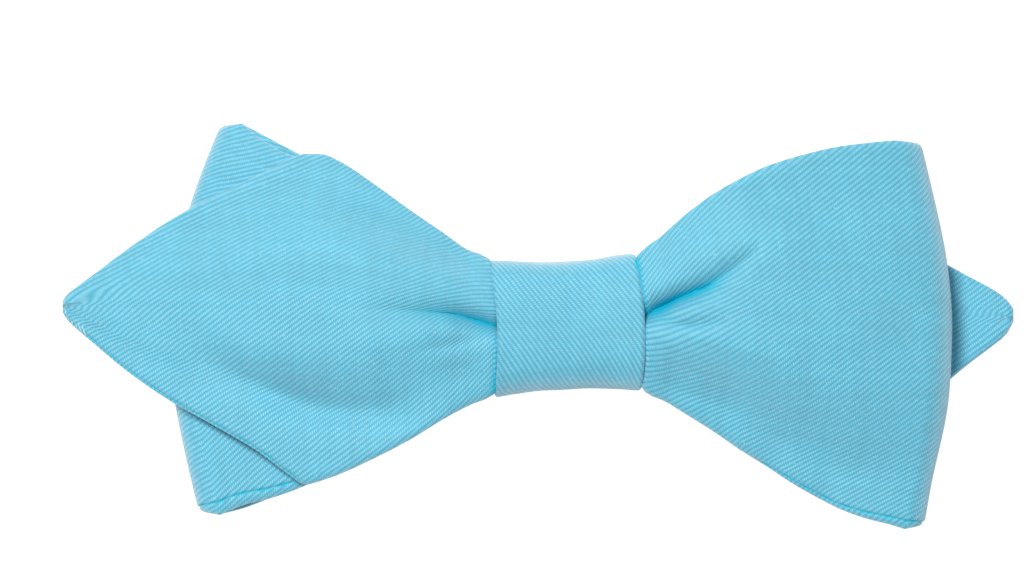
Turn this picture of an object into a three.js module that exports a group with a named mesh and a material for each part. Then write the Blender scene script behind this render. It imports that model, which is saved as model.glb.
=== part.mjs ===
// A diamond point bow tie lying on its back, in millimetres.
// +X is to the right as seen from the front, +Y to the top edge, +Z out of the face.
// The origin is the middle of the collar clip's back face, on the surface that the tie lies on.
import * as THREE from "three";

// Cloth: each strip is two plies of twill, and the knot's band is the same twill folded.
const stripThickness = 1.3;
const bandThickness = 1.2;

// Clearances: between the layers in the knot, and between pieces that seat on each other.
const layerGap = 0.45;
const seatGap = 0.3;

// The knot, a band round the gathered middle of both strips, turned a little anticlockwise.
const knotWidth = 18.6;
const knotHeight = 16.6;
const knotWaist = 0.3;
const knotTilt = THREE.MathUtils.degToRad(2.2);
const knotFrontSquareness = 4;
const knotBackSquareness = 9;

// The gathered middle of the strips: a crease along it, and long edges that turn under.
const throatCrease = 1.4;
const throatTurnUnder = 1.3;
const returnEnd = 7;

// The collar clip, one bent strip of sheet metal behind the knot.
const clipSheet = 0.7;
const clipOpening = 1.6;
const clipWidth = 12;
const clipLength = 14;

// Outer sizes of the wings: reach from the knot's side, and heights above and below the middle.
const frontPointReach = 54.8;
const frontPointTop = 21.6;
const frontPointBottom = 19.9;
const frontLoopReach = 38.8;
const frontLoopTop = 23.3;
const frontLoopBottom = 25.7;
const backLoopReach = 41.7;
const backLoopTop = 25.5;
const backLoopBottom = 23.9;
const backPointReach = 46.6;
const backPointTop = 18.4;
const backPointBottom = 19;

// How far the corners of each folded edge stand back from its middle, and how much they are rounded off.
const frontFoldLeanTop = 3.4;
const frontFoldLeanBottom = 3.6;
const backFoldLeanTop = 6.5;
const backFoldLeanBottom = 4.4;
const foldCornerRounding = 0.02;

// The crease from the knot and the sinking long edges, as deep as this where their table columns say 1.
const creaseDepth = 3;
const creaseWidth = 2;
const edgeSink = 3;

// How late the curves across a wing set in: of its folded edge, its sinking long edges and its corners.
const leanPower = 1.7;
const sinkPower = 2.4;
const cornerPower = 4;
const fadePower = 0.8;

// Steps of the meshes. Those across a strip crowd towards the crease.
const stepsAcross = 6;
const crowding = 1.35;
const longestStep = 0.075;
const foldSteps = 7;
const throatSteps = 3;
const knotSteps = 40;
const bendSteps = 8;

// The rounded long edges: how far face and back stop short of the edge, as a share of half the thickness.
const edgeRounding = 0.6;

// Section tables. Lengths are shares: along of the length from knot to end or fold, upper and lower of the
// wing's top and bottom height, crease of its top height, sink of edgeSink, dent of creaseDepth,
// and height from 0 on the table to 1 at the layer's level in the knot. The first section is the knot's.
const frontPointTable = [
  { along: 0.02, upper: 0.4, lower: 0.44, crease: -0.02, height: 1.02, sink: 0.75, dent: 0.75 },
  { along: 0.06, upper: 0.45, lower: 0.51, crease: 0.02, height: 1.08, sink: 1, dent: 0.95 },
  { along: 0.12, upper: 0.545, lower: 0.59, crease: 0.07, height: 1.13, sink: 1.1, dent: 0.9 },
  { along: 0.2, upper: 0.68, lower: 0.715, crease: 0.125, height: 1.14, sink: 1.15, dent: 0.6 },
  { along: 0.28, upper: 0.815, lower: 0.83, crease: 0.13, height: 1.1, sink: 1.1, dent: 0.25 },
  { along: 0.36, upper: 0.95, lower: 0.93, crease: 0.12, height: 1.03, sink: 1, dent: 0.05 },
  { along: 0.405, upper: 0.995, lower: 0.98, crease: 0.11, height: 0.98, sink: 0.85, dent: 0 },
  { along: 0.44, upper: 1, lower: 1, crease: 0.11, height: 0.94, sink: 0.75, dent: 0 },
  { along: 0.475, upper: 0.97, lower: 0.945, crease: 0.11, height: 0.9, sink: 0.6, dent: 0 },
  { along: 0.55, upper: 0.88, lower: 0.8, crease: 0.11, height: 0.81, sink: 0.4, dent: 0 },
  { along: 0.65, upper: 0.76, lower: 0.64, crease: 0.11, height: 0.71, sink: 0.25, dent: 0 },
  { along: 0.75, upper: 0.62, lower: 0.49, crease: 0.11, height: 0.61, sink: 0.12, dent: 0 },
  { along: 0.85, upper: 0.45, lower: 0.3, crease: 0.11, height: 0.5, sink: 0.05, dent: 0 },
  { along: 0.93, upper: 0.297, lower: 0.11, crease: 0.11, height: 0.41, sink: 0, dent: 0 },
  { along: 0.97, upper: 0.218, lower: 0.01, crease: 0.11, height: 0.36, sink: 0, dent: 0 },
  { along: 0.99, upper: 0.172, lower: -0.05, crease: 0.11, height: 0.34, sink: 0, dent: 0 },
  { along: 1, upper: 0.135, lower: -0.09, crease: 0.11, height: 0.33, sink: 0, dent: 0 },
];
const frontLoopOverTable = [
  { along: 0.02, upper: 0.395, lower: 0.33, crease: 0.03, height: 1.02, sink: 0.75, dent: 0.75 },
  { along: 0.08, upper: 0.515, lower: 0.379, crease: 0.07, height: 1.1, sink: 1.05, dent: 1 },
  { along: 0.15, upper: 0.605, lower: 0.44, crease: 0.12, height: 1.15, sink: 1.15, dent: 0.95 },
  { along: 0.25, upper: 0.71, lower: 0.523, crease: 0.2, height: 1.17, sink: 1.2, dent: 0.75 },
  { along: 0.35, upper: 0.798, lower: 0.611, crease: 0.28, height: 1.16, sink: 1.2, dent: 0.45 },
  { along: 0.45, upper: 0.863, lower: 0.689, crease: 0.36, height: 1.12, sink: 1.05, dent: 0.15 },
  { along: 0.55, upper: 0.908, lower: 0.772, crease: 0.34, height: 1.08, sink: 0.9, dent: 0 },
  { along: 0.65, upper: 0.94, lower: 0.84, crease: 0.26, height: 1.03, sink: 0.72, dent: 0 },
  { along: 0.75, upper: 0.968, lower: 0.9, crease: 0.15, height: 0.97, sink: 0.55, dent: 0 },
  { along: 0.85, upper: 0.987, lower: 0.94, crease: 0.05, height: 0.89, sink: 0.4, dent: 0 },
  { along: 0.94, upper: 0.998, lower: 0.971, crease: -0.03, height: 0.81, sink: 0.28, dent: 0 },
  { along: 1, upper: 1, lower: 0.99, crease: -0.05, height: 0.74, sink: 0.2, dent: 0 },
];
const frontLoopUnderTable = [
  { along: 0.02, upper: 0.37, lower: 0.31, crease: 0.02, height: 0.97, sink: 0.4, dent: 0.4 },
  { along: 0.08, upper: 0.46, lower: 0.355, crease: 0.02, height: 0.85, sink: 0.25, dent: 0.3 },
  { along: 0.18, upper: 0.6, lower: 0.44, crease: 0.02, height: 0.66, sink: 0.1, dent: 0.1 },
  { along: 0.35, upper: 0.77, lower: 0.585, crease: 0, height: 0.44, sink: 0, dent: 0 },
  { along: 0.55, upper: 0.89, lower: 0.75, crease: -0.02, height: 0.32, sink: 0, dent: 0 },
  { along: 0.8, upper: 0.965, lower: 0.91, crease: -0.04, height: 0.275, sink: 0, dent: 0 },
  { along: 1, upper: 1, lower: 0.99, crease: -0.05, height: 0.27, sink: -0.1, dent: 0 },
];
const backLoopOverTable = [
  { along: 0.02, upper: 0.31, lower: 0.33, crease: -0.02, height: 1.02, sink: 0.45, dent: 0.45 },
  { along: 0.1, upper: 0.39, lower: 0.41, crease: 0, height: 1.06, sink: 0.4, dent: 0.3 },
  { along: 0.2, upper: 0.49, lower: 0.494, crease: 0.02, height: 1.04, sink: 0.4, dent: 0.1 },
  { along: 0.35, upper: 0.61, lower: 0.611, crease: 0.02, height: 0.98, sink: 0.35, dent: 0 },
  { along: 0.5, upper: 0.71, lower: 0.724, crease: 0.02, height: 0.92, sink: 0.3, dent: 0 },
  { along: 0.6, upper: 0.77, lower: 0.787, crease: 0.02, height: 0.87, sink: 0.25, dent: 0 },
  { along: 0.7, upper: 0.83, lower: 0.852, crease: 0.02, height: 0.81, sink: 0.2, dent: 0 },
  { along: 0.8, upper: 0.886, lower: 0.912, crease: 0.02, height: 0.76, sink: 0.15, dent: 0 },
  { along: 0.9, upper: 0.945, lower: 0.962, crease: 0.02, height: 0.7, sink: 0.12, dent: 0 },
  { along: 1, upper: 1, lower: 0.99, crease: 0.02, height: 0.62, sink: 0.1, dent: 0 },
];
const backLoopUnderTable = [
  { along: 0.02, upper: 0.28, lower: 0.3, crease: 0, height: 0.93, sink: 0.35, dent: 0.35 },
  { along: 0.08, upper: 0.33, lower: 0.36, crease: 0, height: 0.66, sink: 0.15, dent: 0.2 },
  { along: 0.16, upper: 0.42, lower: 0.44, crease: 0, height: 0.32, sink: 0, dent: 0 },
  { along: 0.26, upper: 0.52, lower: 0.53, crease: 0, height: 0.07, sink: 0, dent: 0 },
  { along: 0.34, upper: 0.59, lower: 0.59, crease: 0, height: 0, sink: 0, dent: 0 },
  { along: 0.6, upper: 0.765, lower: 0.775, crease: 0.01, height: 0, sink: 0, dent: 0 },
  { along: 0.9, upper: 0.945, lower: 0.955, crease: 0.02, height: 0, sink: 0, dent: 0 },
  { along: 1, upper: 1, lower: 0.99, crease: 0.02, height: 0, sink: 0, dent: 0 },
];
const backPointTable = [
  { along: 0.02, upper: 0.4, lower: 0.38, crease: 0.02, height: 0.95, sink: 0.35, dent: 0.35 },
  { along: 0.08, upper: 0.48, lower: 0.45, crease: 0.02, height: 0.77, sink: 0.2, dent: 0.2 },
  { along: 0.17, upper: 0.65, lower: 0.6, crease: 0.02, height: 0.46, sink: 0, dent: 0 },
  { along: 0.28, upper: 0.86, lower: 0.8, crease: 0.02, height: 0.13, sink: 0, dent: 0 },
  { along: 0.36, upper: 0.98, lower: 0.93, crease: 0.03, height: 0.01, sink: 0, dent: 0 },
  { along: 0.42, upper: 1, lower: 1, crease: 0.04, height: 0, sink: 0, dent: 0 },
  { along: 0.5, upper: 0.86, lower: 0.96, crease: 0.05, height: 0, sink: 0, dent: 0 },
  { along: 0.7, upper: 0.58, lower: 0.6, crease: 0.05, height: 0, sink: 0, dent: 0 },
  { along: 0.8, upper: 0.44, lower: 0.41, crease: 0.05, height: 0, sink: 0, dent: 0 },
  { along: 0.88, upper: 0.33, lower: 0.25, crease: 0.05, height: 0, sink: 0, dent: 0 },
  { along: 0.95, upper: 0.23, lower: 0.105, crease: 0.05, height: 0, sink: 0, dent: 0 },
  { along: 0.98, upper: 0.165, lower: 0.045, crease: 0.05, height: 0, sink: 0, dent: 0 },
  { along: 1, upper: 0.095, lower: -0.01, crease: 0.05, height: 0, sink: 0, dent: 0 },
];

// Soft folds that lie aslant on the front wings. Each valley runs through three places,
// given by along and a share of the wing's top height, with its depth and half width.
const frontPointFolds = [
  { from: [0.18, -0.52], via: [0.42, -0.47], to: [0.68, -0.2], depth: 1.1, width: 3.4 },
  { from: [0.02, 0.1], via: [0.3, 0.5], to: [0.6, 0.62], depth: 0.35, width: 4 },
];
const frontLoopFolds = [
  { from: [0.03, -0.02], via: [0.27, 0.01], to: [0.6, 0.08], depth: 0.5, width: 1.6 },
  { from: [0.5, 0.62], via: [0.68, 0.5], to: [0.9, 0.22], depth: 0.5, width: 3.4 },
];

// Levels in the knot, from the back. A layer's level is the crest of its middle surface.
const clipDepth = 2 * clipSheet + clipOpening;
const knotBack = clipDepth + seatGap;
const knotInnerBack = knotBack + bandThickness;
const onTable = stripThickness / 2;
const layerPitch = stripThickness + layerGap;
const layerLevel = (layer) => knotInnerBack + seatGap + onTable + throatCrease + layer * layerPitch;
const knotInnerFront = layerLevel(3) + stripThickness / 2 + seatGap;
const throatHalf = knotHeight / 2 - bandThickness - 2 * seatGap;
const liftOf = (layer, height) => THREE.MathUtils.lerp(onTable, layerLevel(layer), height);

// Smooth value of a column between the rows of a section table: a cubic with no overshoot.
function columnAt(rows, name, along) {
  let i = 0;
  while (i < rows.length - 2 && along > rows[i + 1].along) i += 1;
  const slope = (k) => (rows[k + 1][name] - rows[k][name]) / (rows[k + 1].along - rows[k].along);
  const tangent = (k) => {
    if (k === 0) return slope(0);
    if (k === rows.length - 1) return slope(k - 1);
    const before = slope(k - 1);
    const after = slope(k);
    return before * after <= 0 ? 0 : (2 * before * after) / (before + after);
  };
  const span = rows[i + 1].along - rows[i].along;
  const u = (along - rows[i].along) / span;
  return (
    rows[i][name] * (1 + 2 * u) * (1 - u) ** 2 +
    tangent(i) * span * u * (1 - u) ** 2 +
    rows[i + 1][name] * u * u * (3 - 2 * u) +
    tangent(i + 1) * span * u * u * (u - 1)
  );
}

// A wing's sections in millimetres, from the knot's side outwards.
function makeWing({ side, length, top, bottom, leanTop = 0, leanBottom = 0, layer, table, folds = [] }) {
  const middle = side * Math.tan(knotTilt) * (knotWidth / 2);
  const rows = [
    {
      along: 0,
      upper: middle + throatHalf,
      lower: middle - throatHalf,
      crease: middle,
      height: layerLevel(layer),
      sink: throatTurnUnder,
      dent: throatCrease,
    },
    ...table.map((row) => ({
      along: row.along,
      upper: top * row.upper,
      lower: -bottom * row.lower,
      crease: top * row.crease,
      height: liftOf(layer, row.height),
      sink: edgeSink * row.sink,
      dent: creaseDepth * row.dent,
    })),
  ];
  return { side, length, top, leanTop, leanBottom, rows, folds };
}

// A loop's two layers. Its reach goes to the outside of the fold that joins them.
function makeLoop({ reach, layer, overTable, underTable, folds, ...sizes }) {
  const overEnd = liftOf(layer, overTable.at(-1).height);
  const underEnd = liftOf(layer - 1, underTable.at(-1).height);
  const length = reach - (overEnd - underEnd) / 2 - stripThickness / 2;
  return {
    over: makeWing({ ...sizes, length, layer, table: overTable, folds }),
    under: makeWing({ ...sizes, length, layer: layer - 1, table: underTable }),
  };
}

// Depth of a soft fold at a place on the wing.
function foldDepth(fold, wing, along, y) {
  const [start, middle, end] = [fold.from, fold.via, fold.to];
  const inside = (along - start[0]) / (end[0] - start[0]);
  if (inside <= 0 || inside >= 1) return 0;
  const bend = (middle[0] - start[0]) / (end[0] - start[0]);
  const straight = THREE.MathUtils.lerp(start[1], end[1], inside);
  const sag = middle[1] - THREE.MathUtils.lerp(start[1], end[1], bend);
  const line = straight + (sag * inside * (1 - inside)) / (bend * (1 - bend));
  const fade = Math.sin(Math.PI * inside) ** fadePower;
  return fold.depth * fade * Math.exp(-(((y - line * wing.top) / fold.width) ** 2));
}

// A point of a wing's middle surface: along from 0 at the knot to 1 at its end,
// across from -1 at the lower long edge, over 0 on the crease, to 1 at the upper one.
function wingPoint(wing, along, across) {
  const at = (name) => columnAt(wing.rows, name, along);
  const edge = across > 0 ? at("upper") : at("lower");
  const out = Math.abs(across);
  const y = THREE.MathUtils.lerp(at("crease"), edge, out);
  const lean = (across > 0 ? wing.leanTop : wing.leanBottom) * along ** 2 * out ** leanPower;
  let z = at("height") - at("sink") * out ** sinkPower;
  z -= at("dent") * Math.exp(-(((y - at("crease")) / creaseWidth) ** 2));
  for (const fold of wing.folds) z -= foldDepth(fold, wing, along, y);
  return new THREE.Vector3(wing.side * (knotWidth / 2 + wing.length * along - lean), y, z);
}

// A point of a layer inside the knot, at x from one side of the knot to the other.
function throatPoint(layer, x, across) {
  const y = x * Math.tan(knotTilt) + throatHalf * across;
  const dent = throatCrease * Math.exp(-(((throatHalf * across) / creaseWidth) ** 2));
  return new THREE.Vector3(x, y, layerLevel(layer) - throatTurnUnder * Math.abs(across) ** sinkPower - dent);
}

// A point of the turn that joins a loop's layers: turn from 0 on the one over to 1 on the one under.
function foldPoint(loop, turn, across) {
  const over = wingPoint(loop.over, 1, across);
  const under = wingPoint(loop.under, 1, across);
  const radius = (over.z - under.z) / 2;
  const angle = Math.PI * turn;
  const rounding = 1 - foldCornerRounding * Math.sin(angle) * across ** cornerPower;
  return new THREE.Vector3(
    over.x + loop.over.side * radius * Math.sin(angle),
    over.y * rounding,
    (over.z + under.z) / 2 + radius * Math.cos(angle),
  );
}

// Places of the rings along a wing: one for each row of its table, and more in a long step.
function ringPlaces(wing) {
  const places = [];
  wing.rows.slice(1).forEach((row, i) => {
    const step = row.along - wing.rows[i].along;
    const parts = Math.ceil(step / longestStep);
    for (let k = 1; k <= parts; k += 1) places.push(row.along - step * (1 - k / parts));
  });
  return places;
}

// Skins rings of equal length. A closed row of rings is a ring itself, an open one gets two end caps.
function ringsGeometry(rings, closed) {
  const size = rings[0].length;
  const index = [];
  const spans = closed ? rings.length : rings.length - 1;
  for (let i = 0; i < spans; i += 1) {
    const here = i * size;
    const there = ((i + 1) % rings.length) * size;
    for (let k = 0; k < size; k += 1) {
      const next = (k + 1) % size;
      index.push(here + k, there + k, here + next, here + next, there + k, there + next);
    }
  }
  if (!closed) {
    const last = (rings.length - 1) * size;
    for (let k = 0; k < size / 2; k += 1) {
      const opposite = (size - k) % size;
      const quad = [k, k + 1, size - k - 1, opposite];
      if (opposite !== k) {
        index.push(quad[0], quad[1], quad[3]);
        index.push(last + quad[0], last + quad[3], last + quad[1]);
      }
      if (quad[1] !== quad[2]) {
        index.push(quad[1], quad[2], quad[3]);
        index.push(last + quad[1], last + quad[3], last + quad[2]);
      }
    }
  }
  const geometry = new THREE.BufferGeometry().setFromPoints(rings.flat());
  geometry.setIndex(index);
  geometry.computeVertexNormals();
  return geometry;
}

// Places across a strip, from the lower long edge to the upper one.
const acrossPlaces = [];
for (let i = -stepsAcross; i <= stepsAcross; i += 1) {
  acrossPlaces.push(Math.sign(i) * (Math.abs(i) / stepsAcross) ** crowding);
}

// The outline of a strip's section: up the face from the lower long edge to the upper one, and down behind.
function stripRing(before, section, after) {
  const nudge = 0.02;
  const half = stripThickness / 2;
  const face = [];
  const behind = [];
  for (const across of acrossPlaces) {
    const onward = after(across).sub(before(across));
    const upward = section(Math.min(across + nudge, 1)).sub(section(Math.max(across - nudge, -1)));
    const outward = onward.cross(upward).setLength(half);
    face.push(section(across).add(outward));
    behind.push(section(across).sub(outward));
  }
  // Face and back stop short of the long edges, by no more than half a step.
  const edges = [section(-1), section(1)];
  edges.forEach((edge, i) => {
    const pull = section(0).sub(edge);
    const share = Math.min((half * edgeRounding) / pull.length(), (acrossPlaces[1] - acrossPlaces[0]) / 2);
    for (const list of [face, behind]) list[i * (list.length - 1)].addScaledVector(pull, share);
  });
  return [edges[0], ...face, edges[1], ...behind.reverse()];
}

// One bow: a strip from its point, through the knot, out along a loop, round the fold and back.
function makeBow(point, loop, layer) {
  const halfWidth = (loop.over.side * knotWidth) / 2;
  const sections = ringPlaces(point)
    .reverse()
    .map((along) => (across) => wingPoint(point, along, across));
  for (let i = 0; i <= throatSteps; i += 1) {
    const x = THREE.MathUtils.lerp(-halfWidth, halfWidth, i / throatSteps);
    sections.push((across) => throatPoint(layer, x, across));
  }
  for (const along of ringPlaces(loop.over)) sections.push((across) => wingPoint(loop.over, along, across));
  for (let i = 1; i < foldSteps; i += 1) sections.push((across) => foldPoint(loop, i / foldSteps, across));
  for (const along of ringPlaces(loop.under).reverse()) {
    sections.push((across) => wingPoint(loop.under, along, across));
  }
  for (let i = 0; i < throatSteps; i += 1) {
    const end = -Math.sign(halfWidth) * Math.min(returnEnd, Math.abs(halfWidth));
    const x = THREE.MathUtils.lerp(halfWidth, end, i / (throatSteps - 1));
    sections.push((across) => throatPoint(layer - 1, x, across));
  }
  const rings = sections.map((section, i) =>
    stripRing(sections[Math.max(i - 1, 0)], section, sections[Math.min(i + 1, sections.length - 1)]),
  );
  return ringsGeometry(rings, false);
}

// The knot: a band round the stack, with a soft front, a flatter back and a waist between its open sides.
function makeKnot() {
  const halfHeight = knotHeight / 2 - bandThickness;
  const halfDepth = (knotInnerFront - knotInnerBack) / 2;
  const middle = (knotInnerFront + knotInnerBack) / 2;
  const inside = (angle) => {
    const power = 2 / (Math.sin(angle) > 0 ? knotFrontSquareness : knotBackSquareness);
    const soften = (value) => Math.sign(value) * Math.abs(value) ** power;
    const [y, z] = [halfHeight * soften(Math.cos(angle)), halfDepth * soften(Math.sin(angle))];
    return new THREE.Vector2(y, middle + z);
  };
  // The band's section: across from one open side to the other, out from the inner face to the outer one.
  const wall = [
    { across: -1, out: 0.5 },
    { across: -0.97, out: 0.86 },
    { across: -0.9, out: 1 },
    { across: -0.5, out: 1 },
    { across: 0, out: 1 },
    { across: 0.5, out: 1 },
    { across: 0.9, out: 1 },
    { across: 0.97, out: 0.86 },
    { across: 1, out: 0.5 },
    { across: 0.97, out: 0.14 },
    { across: 0.9, out: 0 },
    { across: 0, out: 0 },
    { across: -0.9, out: 0 },
    { across: -0.97, out: 0.14 },
  ];
  const rings = [];
  for (let i = 0; i < knotSteps; i += 1) {
    const angle = (2 * Math.PI * i) / knotSteps;
    const nudge = Math.PI / knotSteps / 4;
    const tangent = inside(angle + nudge).sub(inside(angle - nudge)).normalize();
    rings.push(
      wall.map(({ across, out }) => {
        const waist = out > 0.5 && Math.sin(angle) >= 0 ? knotWaist * (1 - across ** 2) : 0;
        const rise = bandThickness * out - waist;
        const x = (across * knotWidth) / 2;
        const y = inside(angle).x + tangent.y * rise;
        const z = inside(angle).y - tangent.x * rise;
        return new THREE.Vector3(x, y, z).applyAxisAngle(new THREE.Vector3(0, 0, 1), knotTilt);
      }),
    );
  }
  return ringsGeometry(rings, true);
}

// The clip: a plate against the knot, a round bend at the top, and a tongue that goes behind the collar.
function makeClip() {
  const radius = clipDepth / 2;
  const end = -clipLength / 2;
  const top = clipLength / 2 - radius;
  const shape = new THREE.Shape();
  shape.moveTo(end, 0);
  shape.lineTo(top, 0);
  shape.absarc(top, radius, radius, -Math.PI / 2, Math.PI / 2, false);
  shape.lineTo(end, clipDepth);
  shape.lineTo(end, clipDepth - clipSheet);
  shape.lineTo(top, clipDepth - clipSheet);
  shape.absarc(top, radius, radius - clipSheet, Math.PI / 2, -Math.PI / 2, true);
  shape.lineTo(end, clipSheet);
  shape.closePath();
  const settings = { depth: clipWidth, bevelEnabled: false, curveSegments: bendSteps };
  const geometry = new THREE.ExtrudeGeometry(shape, settings);
  geometry.translate(0, 0, -clipWidth / 2);
  const [x, y, z] = [new THREE.Vector3(0, 1, 0), new THREE.Vector3(0, 0, 1), new THREE.Vector3(1, 0, 0)];
  return geometry.applyMatrix4(new THREE.Matrix4().makeBasis(x, y, z));
}

const frontPoint = makeWing({
  side: -1,
  length: frontPointReach,
  top: frontPointTop,
  bottom: frontPointBottom,
  layer: 3,
  table: frontPointTable,
  folds: frontPointFolds,
});
const frontLoop = makeLoop({
  side: 1,
  reach: frontLoopReach,
  top: frontLoopTop,
  bottom: frontLoopBottom,
  leanTop: frontFoldLeanTop,
  leanBottom: frontFoldLeanBottom,
  layer: 3,
  overTable: frontLoopOverTable,
  underTable: frontLoopUnderTable,
  folds: frontLoopFolds,
});
const backPoint = makeWing({
  side: 1,
  length: backPointReach,
  top: backPointTop,
  bottom: backPointBottom,
  layer: 1,
  table: backPointTable,
});
const backLoop = makeLoop({
  side: -1,
  reach: backLoopReach,
  top: backLoopTop,
  bottom: backLoopBottom,
  leanTop: backFoldLeanTop,
  leanBottom: backFoldLeanBottom,
  layer: 1,
  overTable: backLoopOverTable,
  underTable: backLoopUnderTable,
});

const cloth = { color: 0x74c5e0, roughness: 0.85, metalness: 0 };
const steel = { color: 0xb9bcc0, roughness: 0.3, metalness: 1 };
const bowTie = new THREE.Group();

function addPiece(name, geometry, finish) {
  const mesh = new THREE.Mesh(geometry, new THREE.MeshStandardMaterial(finish));
  mesh.name = name;
  bowTie.add(mesh);
}

addPiece("front_bow", makeBow(frontPoint, frontLoop, 3), cloth);
addPiece("back_bow", makeBow(backPoint, backLoop, 1), cloth);
addPiece("knot", makeKnot(), cloth);
addPiece("collar_clip", makeClip(), steel);

export default bowTie;
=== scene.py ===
"""A diamond point bow tie lying on its back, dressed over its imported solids."""

import math
from collections import namedtuple

import bmesh
import bpy
import numpy as np
from bpy.props import FloatProperty, FloatVectorProperty, PointerProperty
from mathutils import Matrix, Vector


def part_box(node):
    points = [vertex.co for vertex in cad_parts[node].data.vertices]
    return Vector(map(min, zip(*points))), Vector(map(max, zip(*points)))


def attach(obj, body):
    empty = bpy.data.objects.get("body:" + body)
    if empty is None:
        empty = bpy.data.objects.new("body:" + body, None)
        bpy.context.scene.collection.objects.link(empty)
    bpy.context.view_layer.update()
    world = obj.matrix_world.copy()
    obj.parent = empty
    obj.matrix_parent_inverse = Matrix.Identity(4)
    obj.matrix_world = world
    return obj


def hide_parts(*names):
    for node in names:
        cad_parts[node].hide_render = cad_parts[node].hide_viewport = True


bl_info = {
    "name": "Diamond point bow tie",
    "version": (1, 0, 0),
    "blender": (4, 5, 0),
    "location": "3D View > Sidebar > Bow Tie",
    "description": "Makes a diamond point bow tie of twill cloth and a plain stage for it",
    "category": "Add Mesh",
}

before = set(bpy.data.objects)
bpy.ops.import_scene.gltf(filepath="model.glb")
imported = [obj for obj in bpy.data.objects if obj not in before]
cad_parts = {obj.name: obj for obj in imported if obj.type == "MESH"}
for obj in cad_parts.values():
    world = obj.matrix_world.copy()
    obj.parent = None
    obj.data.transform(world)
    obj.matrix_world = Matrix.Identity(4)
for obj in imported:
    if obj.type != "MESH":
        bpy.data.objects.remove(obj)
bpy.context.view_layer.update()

MM = 0.001
MERGE_DISTANCE = 1e-6

LEFT = -1
RIGHT = 1
# The layers in the knot are numbered from the back: each strip's own layer lies over its loop's end.
BACK_LAYER = 1
FRONT_LAYER = 3

# Columns of the section tables. Lengths are shares: along of the length from knot to end or fold, upper
# and lower of the wing's top and bottom height, crease of its top height, sink above and below the
# crease of the edge sink, dent of the crease depth, and height from 0 on the table to 1 at the layer's
# level in the knot.
ALONG, UPPER, LOWER, CREASE, HEIGHT, SINK_ABOVE, SINK_BELOW, DENT = range(8)

FRONT_POINT = [
    (0.006, 0.39, 0.44, -0.005, 1.1, 0.9, 0.7, 0.6),
    (0.06, 0.441, 0.505, 0.038, 1.13, 1.2, 0.7, 0.75),
    (0.12, 0.542, 0.592, 0.072, 1.17, 1.3, 0.7, 0.42),
    (0.2, 0.677, 0.726, 0.088, 1.2, 1.65, 0.75, 0.22),
    (0.28, 0.822, 0.841, 0.1, 1.19, 1.8, 0.85, 0.06),
    (0.36, 0.956, 0.943, 0.11, 1.14, 1.8, 1.05, 0),
    (0.405, 1, 0.988, 0.11, 1.09, 1.65, 1.15, 0),
    (0.44, 1, 1.011, 0.11, 1.04, 1.45, 1.15, 0),
    (0.475, 0.97, 0.952, 0.11, 1, 1.25, 1, 0),
    (0.55, 0.873, 0.798, 0.11, 0.93, 0.95, 0.65, 0),
    (0.65, 0.754, 0.636, 0.11, 0.82, 0.65, 0.4, 0),
    (0.75, 0.614, 0.482, 0.11, 0.69, 0.4, 0.25, 0),
    (0.85, 0.443, 0.294, 0.11, 0.55, 0.16, 0.12, 0),
    (0.93, 0.292, 0.113, 0.11, 0.43, 0.03, 0.05, 0),
    (0.97, 0.218, 0.02, 0.11, 0.37, 0, 0, 0),
    (0.99, 0.176, -0.035, 0.11, 0.34, 0, 0, 0),
    (1, 0.142, -0.078, 0.11, 0.33, 0, 0, 0),
]
FRONT_LOOP_OVER = [
    (0.008, 0.375, 0.318, 0.055, 1.1, 0.5, 0.9, 0.7),
    (0.08, 0.484, 0.373, 0.115, 1.13, 0.5, 1.15, 0.85),
    (0.15, 0.589, 0.434, 0.165, 1.17, 0.45, 1.4, 0.55),
    (0.25, 0.704, 0.518, 0.2, 1.2, 0.4, 1.8, 0.2),
    (0.35, 0.788, 0.608, 0.19, 1.21, 0.4, 2, 0),
    (0.45, 0.855, 0.688, 0.16, 1.19, 0.45, 2, 0),
    (0.55, 0.901, 0.772, 0.12, 1.16, 0.45, 1.9, 0),
    (0.65, 0.937, 0.843, 0.09, 1.11, 0.42, 1.9, 0),
    (0.75, 0.965, 0.904, 0.06, 1.05, 0.4, 1.6, 0),
    (0.85, 0.982, 0.946, 0.03, 0.98, 0.34, 1.3, 0),
    (0.94, 0.994, 0.973, 0, 0.9, 0.28, 1, 0),
    (1, 1, 0.995, -0.02, 0.845, 0.26, 0.85, 0),
]
FRONT_LOOP_UNDER = [
    (0.02, 0.37, 0.31, 0.02, 0.98, 0.4, 0.4, 0.35),
    (0.08, 0.46, 0.355, 0.02, 0.88, 0.2, 0.2, 0.15),
    (0.18, 0.6, 0.44, 0.02, 0.69, 0.1, 0.1, 0.03),
    (0.35, 0.77, 0.585, 0, 0.44, 0, 0, 0),
    (0.55, 0.89, 0.75, -0.02, 0.32, 0, 0, 0),
    (0.8, 0.965, 0.91, -0.04, 0.275, 0, 0, 0),
    (1, 1, 0.99, -0.05, 0.27, -0.1, -0.1, 0),
]
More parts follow.
